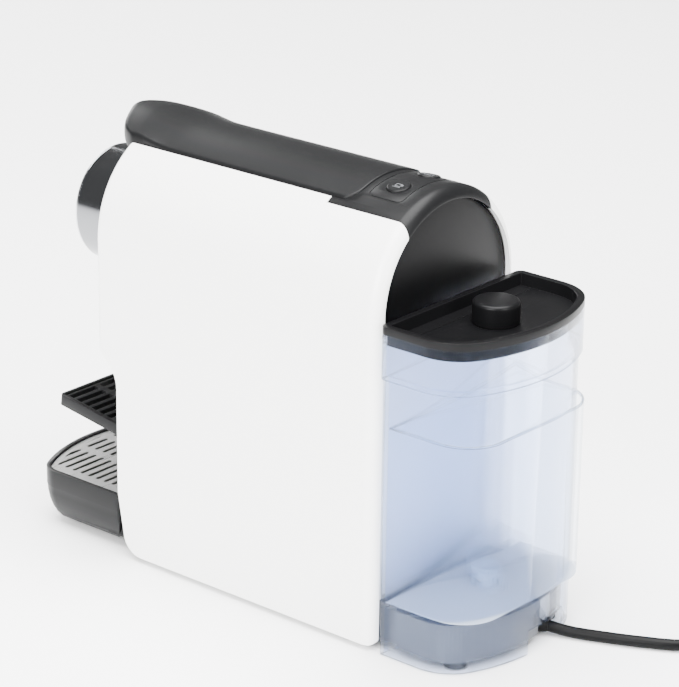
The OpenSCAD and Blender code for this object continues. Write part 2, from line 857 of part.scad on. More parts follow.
module coffee_spout() {
    tip = spout_z;
    color("#2c2d2f") place() difference() {
        union() {
            translate([0, spout_y, brew_z - 13]) rotate([180, 0, 0])
                cylinder(r1 = spout_r, r2 = spout_r - 1.5, h = brew_z - 13 - tip);
            translate([0, plate_y - bridge_t, brew_z]) forward(8, -spout_y + plate_y - bridge_t + 7);
            translate([0, spout_y, brew_z - 13]) cylinder(r = spout_r, h = 13);
        }
        translate([0, spout_y, tip - cut]) cylinder(r = 4, h = brew_z - tip);
        translate([0, plate_y, brew_z]) forward(4, -spout_y + plate_y + 2);
    }
}

module nose_drum() {
    h0 = body_d - 2;
    h1 = body_d + nose_len;
    edge = 2;
    color("#3b3d40") place() difference() {
        about_arch() rotate_extrude() difference() {
            union() {
                translate([nose_r - nose_t, h0]) square([nose_t, h1 - h0 - edge]);
                translate([nose_r - edge, h1 - edge]) intersection() {
                    circle(edge);
                    square(edge);
                }
                translate([nose_r - nose_t, h1 - edge - 0.1]) square([nose_t - edge, edge + 0.1]);
                translate([nose_r - nose_t - 1.5, h1 - 5]) square([2, 1.5]);
            }
        }
        translate([0, spout_y, arch_z - nose_r - 10]) cylinder(r = spout_r + 0.4, h = nose_r);
    }
}

module nose_cap() {
    h1 = body_d + nose_len;
    color("#1a1a1c") place() about_arch() translate([0, 0, h1 - 3.5]) {
        cylinder(r = nose_r - nose_t - 0.1, h = 2);
        translate([0, 0, 2]) cylinder(r1 = nose_r - nose_t - 1, r2 = nose_r - nose_t - 2, h = 0.6);
    }
}

// ---------------------------------------------------------------- water path inside the body

thermo_pos = [-34, -88, shelf_top];
thermo_size = [56, 52, 24];
module thermoblock() {
    p = thermo_pos;
    q = thermo_size;
    color("lightgray") place() {
        translate(p) cube(q);
        for (y = [8 : 9 : 44]) translate([p[0] - 3, p[1] + y, p[2]]) cube([q[0] + 6, 3, q[2] - 6]);
        for (x = [10, 46]) translate([p[0] + x, p[1] + q[1], p[2] + 12]) backward(4, 5);
    }
}

module thermal_fuse() {
    color("ivory") place() translate([thermo_pos[0] + 28, thermo_pos[1] + 20, thermo_pos[2] + thermo_size[2]]) {
        cylinder(r = 8, h = 2);
        translate([0, 0, 2]) cylinder(r = 6.5, h = 6);
        for (x = [-4, 4]) translate([x - 0.4, -2.5, 8]) cube([0.8, 5, 6]);
    }
}

pump_pos = [14, -80, 44];
pump_len = 60;
pump_r = 16;
module pump_body() {
    color("#202124") place() translate(pump_pos) difference() {
        union() {
            backward(pump_r, 40);
            translate([0, 40, 0]) backward(8, pump_len - 40);
            translate([0, -6, 0]) backward(4, 6);
        }
        translate([0, 6, 0]) backward(5.05, 44);
        translate([0, -10, 0]) backward(2, 80);
    }
}

module pump_piston() {
    color("silver") place() translate(pump_pos) difference() {
        translate([0, 18, 0]) backward(5, 22);
        translate([0, 10, 0]) backward(1.5, 40);
    }
}

module pump_spring() {
    color("silver") place() translate(pump_pos) translate([0, 6, 0])
        rotate([-90, 0, 0]) tube(4.6, 3.2, 12);
}

module pump_mounts() {
    color("#17181a") place() for (y = [4, 28]) translate([pump_pos[0], pump_pos[1] + y, pump_pos[2]]) {
        difference() {
            union() {
                backward(pump_r + 3, 6);
                translate([-9, 0, plate_top - pump_pos[2]]) cube([18, 6, pump_pos[2] - floor_gap - 2.7 - 10]);
            }
            translate([0, -cut, 0]) backward(pump_r, 8);
        }
    }
}

meter_pos = [-24, -40, plate_top];
module flow_meter() {
    color("ivory") place() translate(meter_pos) {
        cylinder(r = 13, h = 12);
        translate([0, 0, 12]) cylinder(r = 9, h = 3);
        translate([0, 12, 6]) backward(3, 8);
        translate([0, -12, 6]) forward(3, 8);
    }
}

module hose(points) {
    color("whitesmoke") place() sweep(points, 3, 8);
}

module hose_inlet() {
    m = meter_pos;
    hose([[0, valve_y, seat_top - 10.5], [0, valve_y, 11.6], [-0.8, valve_y - 2.4, 9], [-2.4, valve_y - 7, 8.4],
        [-6, 14, 9], [-12, 4, 9.6], [-18, -6, 10.6], [-22.5, -13, 11.5], [m[0], m[1] + 20, m[2] + 6]]);
}

module hose_pump() {
    m = meter_pos;
    p = pump_pos;
    hose([[m[0], m[1] - 20, m[2] + 6], [-24, -64, 12], [-23.6, -68, 13.6], [-21, -74, 18], [-15.4, -81, 25],
        [-9, -87.4, 32.4], [-3, -92, 39], [1.5, -93.8, 43], [6, -94, 44], [9.1, -93.4, 44], [11.7, -91.7, 44],
        [13.4, -89.1, 44], [p[0], p[1] - 6, p[2]]]);
}

module hose_pressure() {
    t = thermo_pos;
    p = pump_pos;
    hose([[p[0], p[1] + pump_len, p[2]], [14, -14.6, 45.4], [14, -11.8, 50], [14, -11, 60], [13.6, -11, 80],
        [12.6, -11, 104], [12, -12.4, 117], [12, -16.6, 124.4], [12, -23, 126.8],
        [t[0] + 46, t[1] + thermo_size[1] + 5, t[2] + 12]]);
}

module hose_brew() {
    t = thermo_pos;
    hose([[t[0] + 10, t[1] + thermo_size[1] + 5, t[2] + 12], [-24, -25.4, 127.8], [-24, -21.8, 131.4],
        [-24, -21.4, 138], [-24, -24.6, 144.4], [-24, -31, 147], [-24, -45, 147], [-23.6, -60, 147],
        [-21, -76, 147], [-14, -89, 147], [-4, -98, 147], [6, -103.6, 148.4], [12, -106, 154],
        [14.4, -107.4, 162], [15.2, -109.4, 169.6], [15.6, -113, 175.6], [14.8, -117, 179.2],
        [12.6, gland_y + 4, brew_z - 0.1], [10, gland_y + 4, brew_z]]);
}

module control_board() {
    color("darkgreen") place() {
        translate([inner_x - 5, -88, 30]) cube([1.6, 70, 74]);
        translate([inner_x - 17, -80, 38]) cube([12, 22, 18]);
        translate([inner_x - 15, -50, 44]) cube([10, 14, 20]);
        translate([inner_x - 12, -30, 70]) rotate([0, 90, 0]) cylinder(r = 5, h = 7);
        for (z = [78, 92]) translate([inner_x - 13, -70, z]) cube([8, 14, 8]);
        // edge rail that holds the board to the floor plate
        translate([inner_x - 6, -88, plate_top]) cube([3.4, 8, 24.3]);
        translate([inner_x - 6, -26, plate_top]) cube([3.4, 8, 24.3]);
    }
}

// ---------------------------------------------------------------- tray, grid, bin and shelf

// Height and inset of the tray's curved underside, from its band down
function curve_z(i) = tray_low + (tray_z - tray_band - tray_low) * (1 - sin(90 * i / tray_steps));
function curve_in(i) = 0.2 + (tray_taper - 0.2) * (1 - cos(90 * i / tray_steps));

module drip_tray() {
    color("#2f3032") place() difference() {
        union() {
            slab(tray_z - tray_band - 1, tray_z) tray_outline(0);
            for (i = [0 : tray_steps - 1]) hull() {
                slab(curve_z(i), curve_z(i) + 0.1) tray_outline(curve_in(i));
                slab(curve_z(i + 1), curve_z(i + 1) + 0.1) tray_outline(curve_in(i + 1));
            }
            tray_tongue();
        }
        // basin and the ledge under the grid
        slab(tray_low + 2.5, tray_z) tray_outline(tray_taper + 0.6);
        slab(tray_z - 10, tray_z + cut) tray_outline(tray_t + 2);
        slab(tray_z - 1 - grid_t, tray_z + cut) tray_outline(tray_t);
        // hollow of the tongue
        translate([-tongue_x + 2, tray_back + 5, bin_floor])
            cube([2 * tongue_x - 4, tongue_end - tray_back - 7, 50]);
    }
}

// Flat rear part that runs into the body and carries the pod bin
module tray_tongue() {
    front = tray_back - tray_taper;
    translate([-tongue_x, front, tongue_floor]) cube([2 * tongue_x, tongue_end - front, tongue_wall]);
}

module drip_grid() {
    top = tray_z - 1;
    inset = tray_t + 0.4;
    rib = 5.8;
    reach = tray_w / 2 - 10;
    edges = [-reach - rib / 2, -26.2, -4.6, 17, reach + rib / 2];
    color("silver") place() difference() {
        slab(top - grid_t, top) tray_outline(inset);
        slab(top - grid_t - cut, top + cut) intersection() {
            tray_outline(inset + 3.2);
            for (k = [0 : 10], i = [0 : 3])
                translate([(edges[i] + edges[i + 1]) / 2, -tray_d + 5.7 + grid_pitch * k])
                    slot_shape(edges[i + 1] - edges[i] - rib, 2.4);
        }
    }
}

// A rounded slot centred on its middle
module slot_shape(l, w) {
    square([l - w, w], center = true);
    for (s = [-1, 1]) translate([s * (l - w) / 2, 0]) circle(d = w);
}

module pod_bin() {
    y0 = -column_d + 4;
    y1 = tongue_end - 4;
    color("#2c2d2f") place() difference() {
        union() {
            translate([-bin_x, y0, bin_floor]) cube([2 * bin_x, y1 - y0, bin_z - bin_floor]);
            // face that closes the column
            translate([-inner_x + gap, -column_d + 0.8, tray_z - 8])
                cube([2 * (inner_x - gap), 3.2, bin_z - tray_z + 8]);
            shelf_ears();
        }
        translate([-bin_x + bin_t, y0 + bin_t, bin_floor + bin_t])
            cube([2 * (bin_x - bin_t), y1 - y0 - 2 * bin_t, bin_z]);
        translate([0, shelf_y, shelf_z]) along_x(shelf_pin_r, shelf_w);
    }
}

// Ears on the bin's face that hold the shelf's pin
module shelf_ears() {
    for (s = [-1, 1]) translate([s * (shelf_w / 2 - 4 - ear_w / 2), 0, 0]) {
        translate([-ear_w / 2, shelf_y, shelf_z - 3]) cube([ear_w, -column_d + 1 - shelf_y, 6]);
        translate([0, shelf_y, shelf_z]) along_x(3, ear_w);
    }
}

module shelf_pin() {
    color("silver") place() translate([0, shelf_y, shelf_z]) along_x(shelf_pin_r, shelf_w - 8);
}

module cup_shelf() {
    half = shelf_w / 2;
    z0 = knuckle_r - shelf_t;
    inner = half - 2.2;
    ear_in = half - 4 - ear_w - 0.4;
    color("#37383b") place() translate([0, shelf_y, shelf_z]) rotate([-shelf_tilt, 0, 0]) difference() {
        union() {
            translate([0, 0, z0]) linear_extrude(shelf_t) shelf_outline(half);
            along_x(knuckle_r, 2 * ear_in);
            translate([-ear_in, -6, z0]) cube([2 * ear_in, 6, shelf_t]);
        }
        along_x(shelf_pin_r + run_gap, 4 * half);
        // room for the ears
        for (s = [-1, 1]) translate([s * (half - 4 - ear_w / 2) - ear_w / 2 - 0.4, -4.5, z0 - cut])
            cube([ear_w + 0.8, 10, shelf_t + 2 * cut]);
        // slots in four columns, between the front bar and the rear bar
        translate([0, 0, z0 - cut]) linear_extrude(shelf_t + 2 * cut) {
            for (k = [0 : 5], c = [-1.5 : 1 : 1.5])
                translate([c * (inner / 2 + 0.6), -shelf_len + 6.6 + shelf_pitch * k])
                    square([inner / 2 - 3, shelf_pitch - shelf_bar], center = true);
            translate([0, -shelf_len + 2.6]) square([2 * inner, 1.6], center = true);
        }
    }
}

module shelf_outline(half) {
    r = 2.5;
    difference() {
        translate([-half, -shelf_len]) square([2 * half, shelf_len - 4]);
        for (s = [0, 1]) mirror([s, 0, 0]) translate([half - r, -shelf_len + r]) mirror([0, 1]) corner_cut(r);
    }
}

// ---------------------------------------------------------------- water tank

module tank_body() {
    rim_z = tank_z - lid_rim;
    color([0.75, 0.83, 0.95, 0.45]) place() difference() {
        union() {
            slab(collar_z, rim_z) tank_outline(0);
            slab(0.6, collar_z) tank_outline(collar_step);
            // valve collar below the floor
            translate([0, valve_y, tank_floor - 6.5]) cylinder(r = 9, h = 7);
        }
        slab(tank_floor + 2.5, collar_z + 3) tank_outline(collar_step + tank_t);
        slab(collar_z + 2, rim_z + cut) tank_outline(tank_t);
        difference() {
            slab(-cut, tank_floor) tank_outline(collar_step + tank_t);
            translate([0, valve_y, tank_floor - 6.5]) cylinder(r = 9, h = 7);
        }
        // the skirt is open towards the body
        translate([-inner_x + 2, 0, -cut]) cube([2 * inner_x - 4, 12, tank_floor + cut]);
        // notch for the cord
        translate([-30, 40, -cut]) cube([35.5, 40, 14 + cut]);
        // valve opening
        translate([0, valve_y, tank_floor - 7.5]) cylinder(r = stub_r + 0.4, h = 7.5);
        translate([0, valve_y, tank_floor - cut]) cylinder(r = valve_hole_r, h = 10);
    }
}

module tank_lid() {
    rim_z = tank_z - lid_rim;
    floor_z = tank_z - lid_drop;
    plug = tank_t + 0.3;
    color("#1d1d1f") place() difference() {
        union() {
            slab(rim_z, tank_z) tank_outline(0.1);
            slab(rim_z - 6, rim_z) tank_outline(plug);
        }
        slab(floor_z, tank_z + cut) tank_outline(plug + 1.9);
        slab(0, floor_z - 2) tank_outline(plug + 2);
        // fine step along the front
        translate([-tank_x + 6, tank_gap + 12, floor_z - 0.4]) cube([tank_w - 12, 0.5, 1]);
        translate([0, knob_y(), floor_z - 3]) cylinder(r = 3, h = 10);
    }
}

function knob_y() = 30;

module lid_knob() {
    z = tank_z - lid_drop;
    r = 2;
    h = 12;
    color("#1d1d1f") place() translate([0, knob_y(), z]) {
        rotate_extrude() {
            square([knob_r, h - r]);
            square([knob_r - r, h]);
            translate([knob_r - r, h - r]) circle(r);
        }
        translate([0, 0, -4.5]) cylinder(r = 3, h = 4.5);
        translate([0, 0, -4]) cylinder(r = 5, h = 2);
    }
}

module valve_cage() {
    z = tank_floor + 2.5;
    color("#7f90ad") place() translate([0, valve_y, z]) difference() {
        cylinder(r = 7, h = 11);
        translate([0, 0, -cut]) cylinder(r = 5.6, h = 10 + cut);
        for (a = [0, 90]) rotate([0, 0, a]) translate([-10, -2, -cut]) cube([20, 4, 5 + cut]);
    }
}

module valve_plunger() {
    z = tank_floor + 2.5;
    color("#6f7f9c") place() translate([0, valve_y, z]) {
        cylinder(r = 5.2, h = 2);
        translate([0, 0, -3]) cylinder(r = 1.6, h = 3);
        translate([0, 0, 2]) cylinder(r = 1.4, h = 3);
    }
}

module valve_spring() {
    z = tank_floor + 2.5;
    color("silver") place() translate([0, valve_y, z + 2]) tube(4, 3, 8);
}

module tank_seal() {
    color("#222222") place() translate([0, valve_y, seat_top - 5]) tube(stub_r + 0.3, stub_r - 1, 2.4);
}

module base_screws() {
    color("silver") place() for (p = base_screw_pos()) translate([p[0], p[1], floor_gap + 0.2]) {
        translate([0, 0, -2]) cylinder(r = 3, h = 2);
        cylinder(r = 1.5, h = 2.5);
    }
}

// ---------------------------------------------------------------- cord

module cord_clamp() {
    color("#2a2b2d") place() translate([clamp_pos[0], clamp_pos[1], 4]) rotate([0, 0, cord_yaw])
        translate([-5, -7.5, 0]) difference() {
            cube([5, 15, 10.5]);
            translate([-cut, 7.5, clamp_pos[2] - 4]) rotate([0, 90, 0]) cylinder(r = cord_d / 2, h = 10);
        }
}

module strain_relief() {
    color("#141415") place() translate(clamp_pos) rotate([0, 0, cord_yaw]) rotate([0, 90 + 4.7, 0])
        cylinder(r1 = 5, r2 = cord_d / 2 + 0.4, h = relief_len);
}

module power_cord() {
    color("#0f0f10") place() sweep(cord_route, cord_d / 2, cord_sides);
}

module cord_coil() {
    color("#0f0f10") place() translate([coil_pos[0], coil_pos[1], 0.1]) rotate_extrude()
        translate([coil_r - coil_w / 2, 0]) square([coil_w, coil_h]);
}

module cord_tie() {
    wrap = 1.2;
    color("#202022") place() translate([coil_pos[0] + coil_r, coil_pos[1], 0]) difference() {
        translate([-coil_w / 2 - wrap, -4, 0.1]) cube([coil_w + 2 * wrap, 8, coil_h + wrap]);
        translate([-coil_w / 2 - 0.25, -8, -cut]) cube([coil_w + 0.5, 16, coil_h + cut + 0.15]);
    }
}

// Two-pin plug
module power_plug() {
    color("#0f0f10") place() translate([plug_pos[0], plug_pos[1], plug_t / 2 + 0.1]) {
        rotate([0, 90, 0]) cylinder(r1 = cord_d / 2, r2 = 5, h = 17);
        translate([16, -11, -plug_t / 2]) cube([17, 22, plug_t]);
        for (y = [-6.35, 6.35]) translate([32, y - 0.75, -3.15]) cube([16, 1.5, 6.3]);
    }
}

base_chassis();
rubber_feet();
side_shell_left();
side_shell_right();
front_panel();
back_panel();
rear_cover();
control_panel();
button_small_cup();
button_large_cup();
button_board();
top_deck();
lever();
lever_axle();
idler_gears();
brew_frame();
frame_screws();
brew_cage();
piercing_plate();
brew_tube();
inlet_gland();
extraction_plate();
coffee_spout();
nose_drum();
nose_cap();
thermoblock();
thermal_fuse();
pump_body();
pump_piston();
pump_spring();
pump_mounts();
flow_meter();
hose_inlet();
hose_pump();
hose_pressure();
hose_brew();
control_board();
drip_tray();
drip_grid();
pod_bin();
shelf_pin();
cup_shelf();
tank_body();
tank_lid();
lid_knob();
valve_cage();
valve_plunger();
valve_spring();
tank_seal();
base_screws();
cord_clamp();
strain_relief();
power_cord();
cord_coil();
cord_tie();
power_plug();
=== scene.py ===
"""Visual model of a pod coffee machine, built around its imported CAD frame."""
import math

import bpy
from mathutils import Matrix, Vector


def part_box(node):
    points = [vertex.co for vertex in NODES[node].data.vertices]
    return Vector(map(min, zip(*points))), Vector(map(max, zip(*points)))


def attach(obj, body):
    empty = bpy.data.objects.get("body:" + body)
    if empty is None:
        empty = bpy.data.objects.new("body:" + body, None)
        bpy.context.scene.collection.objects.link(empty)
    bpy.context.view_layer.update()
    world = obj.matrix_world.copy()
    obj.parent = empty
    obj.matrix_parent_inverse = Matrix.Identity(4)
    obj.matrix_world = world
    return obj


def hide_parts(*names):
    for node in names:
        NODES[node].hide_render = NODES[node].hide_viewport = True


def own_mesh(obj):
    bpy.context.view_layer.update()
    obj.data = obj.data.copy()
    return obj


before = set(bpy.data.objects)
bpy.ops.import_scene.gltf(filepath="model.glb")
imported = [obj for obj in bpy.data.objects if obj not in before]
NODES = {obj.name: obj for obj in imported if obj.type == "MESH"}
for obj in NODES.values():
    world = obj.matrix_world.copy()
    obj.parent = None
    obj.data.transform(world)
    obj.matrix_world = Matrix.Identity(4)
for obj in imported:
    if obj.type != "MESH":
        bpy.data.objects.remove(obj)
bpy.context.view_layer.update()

bl_info = {
    "name": "Pod Coffee Machine",
    "version": (1, 0, 0),
    "blender": (4, 5, 0),
    "location": "View3D > Sidebar > Coffee Machine",
    "description": "Builds the looks of a pod coffee machine around its CAD frame",
    "category": "Add Mesh",
}

# The arch of the body, as the frame gives it
ARCH_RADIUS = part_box("side_shell_right")[1][0]
ARCH_Z = sum(c[2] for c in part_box("nose_cap")) / 2

# Height of the cord's middle above the floor, and how near a vertex lies to a place that it is looked up by
CORD_HEIGHT = 0.0032
NEAR = 0.00001


# ---------------------------------------------------------------- settings

class StageSettings(bpy.types.PropertyGroup):
    """Camera, floor and lights."""
    camera_place: bpy.props.FloatVectorProperty(
        name="Camera place", description="Where the camera stands",
        default=(1.09352, 0.93983, 0.67217), subtype="TRANSLATION", unit="LENGTH", precision=5)
    camera_aim: bpy.props.FloatVectorProperty(
        name="Camera aim", description="Point that the camera looks at",
        default=(0.05243, 0.06908, 0.16184), subtype="TRANSLATION", unit="LENGTH", precision=5)
    camera_roll: bpy.props.FloatProperty(
        name="Camera roll", description="Turn of the camera about its own axis",
        default=math.radians(0.814), subtype="ANGLE")
    lens: bpy.props.FloatProperty(
        name="Lens", description="Focal length in millimetres on a 36 mm sensor", default=151.66)
    floor_colour: bpy.props.FloatVectorProperty(
        name="Floor colour", description="Colour of the plain pale floor",
        default=(0.96, 0.96, 0.96), subtype="COLOR", min=0, max=1)
    sky_strength: bpy.props.FloatProperty(
        name="Sky strength", description="Brightness of the even light all round", default=0.3)


class CordSettings(bpy.types.PropertyGroup):
    """Mains cord."""
    diameter: bpy.props.FloatProperty(
        name="Diameter", description="Outer diameter of the cord", default=0.0062, unit="LENGTH", precision=4)
    length: bpy.props.FloatProperty(
        name="Length", description="Whole length of the cord", default=0.8, unit="LENGTH")
    coil_radius: bpy.props.FloatProperty(
        name="Coil radius", description="Radius at the middle of the coil's turns",
        default=0.031, unit="LENGTH", precision=4)
    coil_place: bpy.props.FloatVectorProperty(
        name="Coil place", description="Middle of the coil on the floor",
        default=(-0.100, 0.2645), size=2, unit="LENGTH")


class LeverSettings(bpy.types.PropertyGroup):
    """Lever."""
    proud: bpy.props.FloatProperty(
        name="Proud", description="How far the lever stands above the arch",
        default=0.001, unit="LENGTH", precision=4)
    thickness: bpy.props.FloatProperty(
        name="Thickness", description="Thickness of the lever's plate", default=0.0034, unit="LENGTH", precision=4)
    tip_thickness: bpy.props.FloatProperty(
        name="Tip thickness", description="Thickness of the lever's tip", default=0.0088, unit="LENGTH", precision=4)
    rise: bpy.props.FloatProperty(
        name="Rise", description="How far the tip sweeps up", default=0.0030, unit="LENGTH", precision=4)


class TankSettings(bpy.types.PropertyGroup):
    """Water tank."""
    water_level: bpy.props.FloatProperty(
        name="Water level", description="Height of the water's surface", default=0.125, unit="LENGTH", precision=4)
    tint: bpy.props.FloatVectorProperty(
        name="Tank tint", description="Colour of the clear moulding", default=(0.68, 0.77, 0.99),
        subtype="COLOR", min=0, max=1)
    water_tint: bpy.props.FloatVectorProperty(
        name="Water tint", description="Colour of the water", default=(0.84, 0.91, 1.0),
        subtype="COLOR", min=0, max=1)


class FinishSettings(bpy.types.PropertyGroup):
    """Colours of the outer mouldings."""
    shell: bpy.props.FloatVectorProperty(
        name="Shell", description="Colour of the side shells", default=(0.86, 0.86, 0.86),
        subtype="COLOR", min=0, max=1)
    charcoal: bpy.props.FloatVectorProperty(
        name="Charcoal", description="Colour of the lever, panel, shelf and tray", default=(0.0048, 0.0049, 0.0052),
        subtype="COLOR", min=0, max=1)
    black: bpy.props.FloatVectorProperty(
        name="Black", description="Colour of the polished black mouldings", default=(0.0030, 0.0030, 0.0033),
        subtype="COLOR", min=0, max=1)
    symbol: bpy.props.FloatVectorProperty(
        name="Symbol", description="Colour of the cup symbols", default=(0.10, 0.103, 0.11),
        subtype="COLOR", min=0, max=1)


# ---------------------------------------------------------------- node groups

def add_sockets(group, inputs, outputs):
    """Gives a node group its named inputs, with defaults, and outputs."""
    for name, kind, value in inputs:
        socket = group.interface.new_socket(name=name, in_out="INPUT", socket_type=kind)
        socket.default_value = value
    for name, kind in outputs:
        group.interface.new_socket(name=name, in_out="OUTPUT", socket_type=kind)


def finish_outputs(group, pattern, height, source, result):
    """Turns a pattern round 0.5 into the group's colour and roughness, and passes another on as its height."""
    nodes, links = group.nodes, group.links
    centre = nodes.new("ShaderNodeMath")
    centre.operation = "SUBTRACT"
    centre.inputs[1].default_value = 0.5
    links.new(pattern.outputs["Fac"], centre.inputs[0])
    gloss = nodes.new("ShaderNodeMath")
    gloss.operation = "MULTIPLY_ADD"
    links.new(centre.outputs[0], gloss.inputs[0])
    links.new(source.outputs["Spread"], gloss.inputs[1])
    links.new(source.outputs["Roughness"], gloss.inputs[2])
    tone = nodes.new("ShaderNodeMath")
    tone.operation = "MULTIPLY_ADD"
    tone.inputs[2].default_value = 1.0
    links.new(centre.outputs[0], tone.inputs[0])
    links.new(source.outputs["Shade"], tone.inputs[1])
    shade = nodes.new("ShaderNodeVectorMath")
    shade.operation = "SCALE"
    links.new(source.outputs["Colour"], shade.inputs[0])
    links.new(tone.outputs[0], shade.inputs["Scale"])
    links.new(shade.outputs[0], result.inputs["Colour"])
    links.new(gloss.outputs[0], result.inputs["Roughness"])
    links.new(height.outputs["Fac"], result.inputs["Height"])


OUTPUTS = [("Colour", "NodeSocketColor"), ("Roughness", "NodeSocketFloat"), ("Height", "NodeSocketFloat")]


def moulded_grain_group():
    """Fine grain of a moulded surface, with broad changes of gloss from handling."""
    name = "Moulded Grain"
    if name in bpy.data.node_groups:
        return bpy.data.node_groups[name]
    group = bpy.data.node_groups.new(name, "ShaderNodeTree")
    add_sockets(group,
                [("Colour", "NodeSocketColor", (1, 1, 1, 1)), ("Roughness", "NodeSocketFloat", 0.4),
                 ("Spread", "NodeSocketFloat", 0.05), ("Grain Scale", "NodeSocketFloat", 2500.0),
                 ("Shade", "NodeSocketFloat", 0.04)], OUTPUTS)
    nodes, links = group.nodes, group.links
    source = nodes.new("NodeGroupInput")
    result = nodes.new("NodeGroupOutput")
    place = nodes.new("ShaderNodeTexCoord")
    fine = nodes.new("ShaderNodeTexNoise")
    fine.inputs["Detail"].default_value = 2.0
    broad = nodes.new("ShaderNodeTexNoise")
    broad.inputs["Scale"].default_value = 22.0
    broad.inputs["Detail"].default_value = 3.0
    links.new(place.outputs["Object"], fine.inputs["Vector"])
    links.new(place.outputs["Object"], broad.inputs["Vector"])
    links.new(source.outputs["Grain Scale"], fine.inputs["Scale"])
    finish_outputs(group, broad, fine, source, result)
    return group


def brushed_lines_group():
    """Long fine lines of brushed or turned metal."""
    name = "Brushed Lines"
    if name in bpy.data.node_groups:
        return bpy.data.node_groups[name]
    group = bpy.data.node_groups.new(name, "ShaderNodeTree")
    add_sockets(group,
                [("Colour", "NodeSocketColor", (1, 1, 1, 1)), ("Roughness", "NodeSocketFloat", 0.25),
                 ("Spread", "NodeSocketFloat", 0.15), ("Lines", "NodeSocketVector", (20, 900, 900)),
                 ("Shade", "NodeSocketFloat", 0.15)], OUTPUTS)
    nodes, links = group.nodes, group.links
    source = nodes.new("NodeGroupInput")
    result = nodes.new("NodeGroupOutput")
    place = nodes.new("ShaderNodeTexCoord")
    stretch = nodes.new("ShaderNodeVectorMath")
    stretch.operation = "MULTIPLY"
    lines = nodes.new("ShaderNodeTexNoise")
    lines.inputs["Scale"].default_value = 1.0
    lines.inputs["Detail"].default_value = 3.0
    links.new(place.outputs["Object"], stretch.inputs[0])
    links.new(source.outputs["Lines"], stretch.inputs[1])
    links.new(stretch.outputs[0], lines.inputs["Vector"])
    finish_outputs(group, lines, lines, source, result)
    return group


# ---------------------------------------------------------------- materials

def material_with(name, group, values, bump, plain):
    """A material whose colour, roughness and height come from a group; plain holds the shader's own constants."""
    if name in bpy.data.materials:
        return bpy.data.materials[name]
    material = bpy.data.materials.new(name)
    material.use_nodes = True
    nodes, links = material.node_tree.nodes, material.node_tree.links
    shader = nodes["Principled BSDF"]
    for socket, value in plain.items():
        shader.inputs[socket].default_value = value
    effect = nodes.new("ShaderNodeGroup")
    effect.node_tree = group
    for socket, value in values.items():
        effect.inputs[socket].default_value = value
    links.new(effect.outputs["Colour"], shader.inputs["Base Color"])
    links.new(effect.outputs["Roughness"], shader.inputs["Roughness"])
    if bump:
        relief = nodes.new("ShaderNodeBump")
        relief.inputs["Strength"].default_value = 1.0
        relief.inputs["Distance"].default_value = bump
        links.new(effect.outputs["Height"], relief.inputs["Height"])
        links.new(relief.outputs["Normal"], shader.inputs["Normal"])
    return material


def moulded(name, colour, roughness, spread=0.05, shade=0.04, grain=2500.0, bump=0.0, **plain):
    """A moulded plastic or rubber."""
    values = {"Colour": (*colour, 1), "Roughness": roughness, "Spread": spread, "Grain Scale": grain, "Shade": shade}
    return material_with(name, moulded_grain_group(), values, bump, plain)


def metal(name, colour, roughness, lines, spread=0.15, shade=0.15, bump=0.00001):
    """A bare or plated metal with fine lines."""
    values = {"Colour": (*colour, 1), "Roughness": roughness, "Spread": spread, "Lines": lines, "Shade": shade}
    return material_with(name, brushed_lines_group(), values, bump, {"Metallic": 1.0})


def white_shell():
    return moulded("white_shell", bpy.context.scene.pod_finish.shell, 0.32, spread=0.04, shade=0.012,
                   grain=900.0, bump=0.000006, **{"Specular IOR Level": 0.45})


def charcoal():
    return moulded("charcoal_satin", bpy.context.scene.pod_finish.charcoal, 0.38, spread=0.08, shade=0.15,
                   grain=2600.0, bump=0.00001, **{"Specular IOR Level": 0.12})


def black_gloss():
    return moulded("black_gloss", bpy.context.scene.pod_finish.black, 0.2, spread=0.08, shade=0.1,
                   grain=1200.0, bump=0.000006)


def black_satin():
    return moulded("black_satin", bpy.context.scene.pod_finish.black, 0.34, spread=0.08, shade=0.12,
                   grain=2200.0, bump=0.000008, **{"Specular IOR Level": 0.09})


def symbol_grey():
    return moulded("symbol_grey", bpy.context.scene.pod_finish.symbol, 0.5, shade=0.05)


def rubber():
    return moulded("black_rubber", (0.005, 0.005, 0.0054), 0.5, spread=0.12, shade=0.25, grain=1800.0, bump=0.00002,
                   **{"Specular IOR Level": 0.2})


def cord_sheath():
    return moulded("cord_sheath", (0.0018, 0.0018, 0.002), 0.4, spread=0.1, shade=0.2, grain=1500.0, bump=0.00001,
                   **{"Specular IOR Level": 0.08})


def silicone():
    return moulded("hose_silicone", (0.62, 0.62, 0.58), 0.45, shade=0.08, bump=0.00001,
                   **{"Subsurface Weight": 0.2, "Subsurface Scale": 0.002})


def nylon():
    return moulded("natural_nylon", (0.7, 0.66, 0.56), 0.4, shade=0.1, bump=0.00002)


def frame_plastic():
    return moulded("glass_filled", (0.07, 0.074, 0.082), 0.5, spread=0.15, shade=0.3, grain=1400.0, bump=0.00005)


def blue_plastic():
    return moulded("valve_blue", (0.05, 0.085, 0.17), 0.35, shade=0.1, bump=0.00001)


def circuit_green():
    return moulded("circuit_green", (0.02, 0.12, 0.05), 0.35, spread=0.1, shade=0.6, grain=500.0, bump=0.00008)


def coil_black():
    return moulded("coil_black", (0.02, 0.02, 0.024), 0.45, spread=0.1, shade=0.3, grain=900.0, bump=0.00006)


def dark_chrome():
    return metal("smoked_plating", (0.2, 0.205, 0.215), 0.12, (300, 12, 300), spread=0.04, shade=0.05,
                 bump=0.000001)


def bright_rim():
    return metal("bright_rim", (0.62, 0.63, 0.65), 0.16, (300, 12, 300), spread=0.05, shade=0.05)


def stainless():
    return metal("stainless_sheet", (0.6, 0.6, 0.59), 0.3, (25, 1400, 1400))


def plain_steel():
    return metal("plain_steel", (0.58, 0.58, 0.58), 0.28, (700, 40, 700))


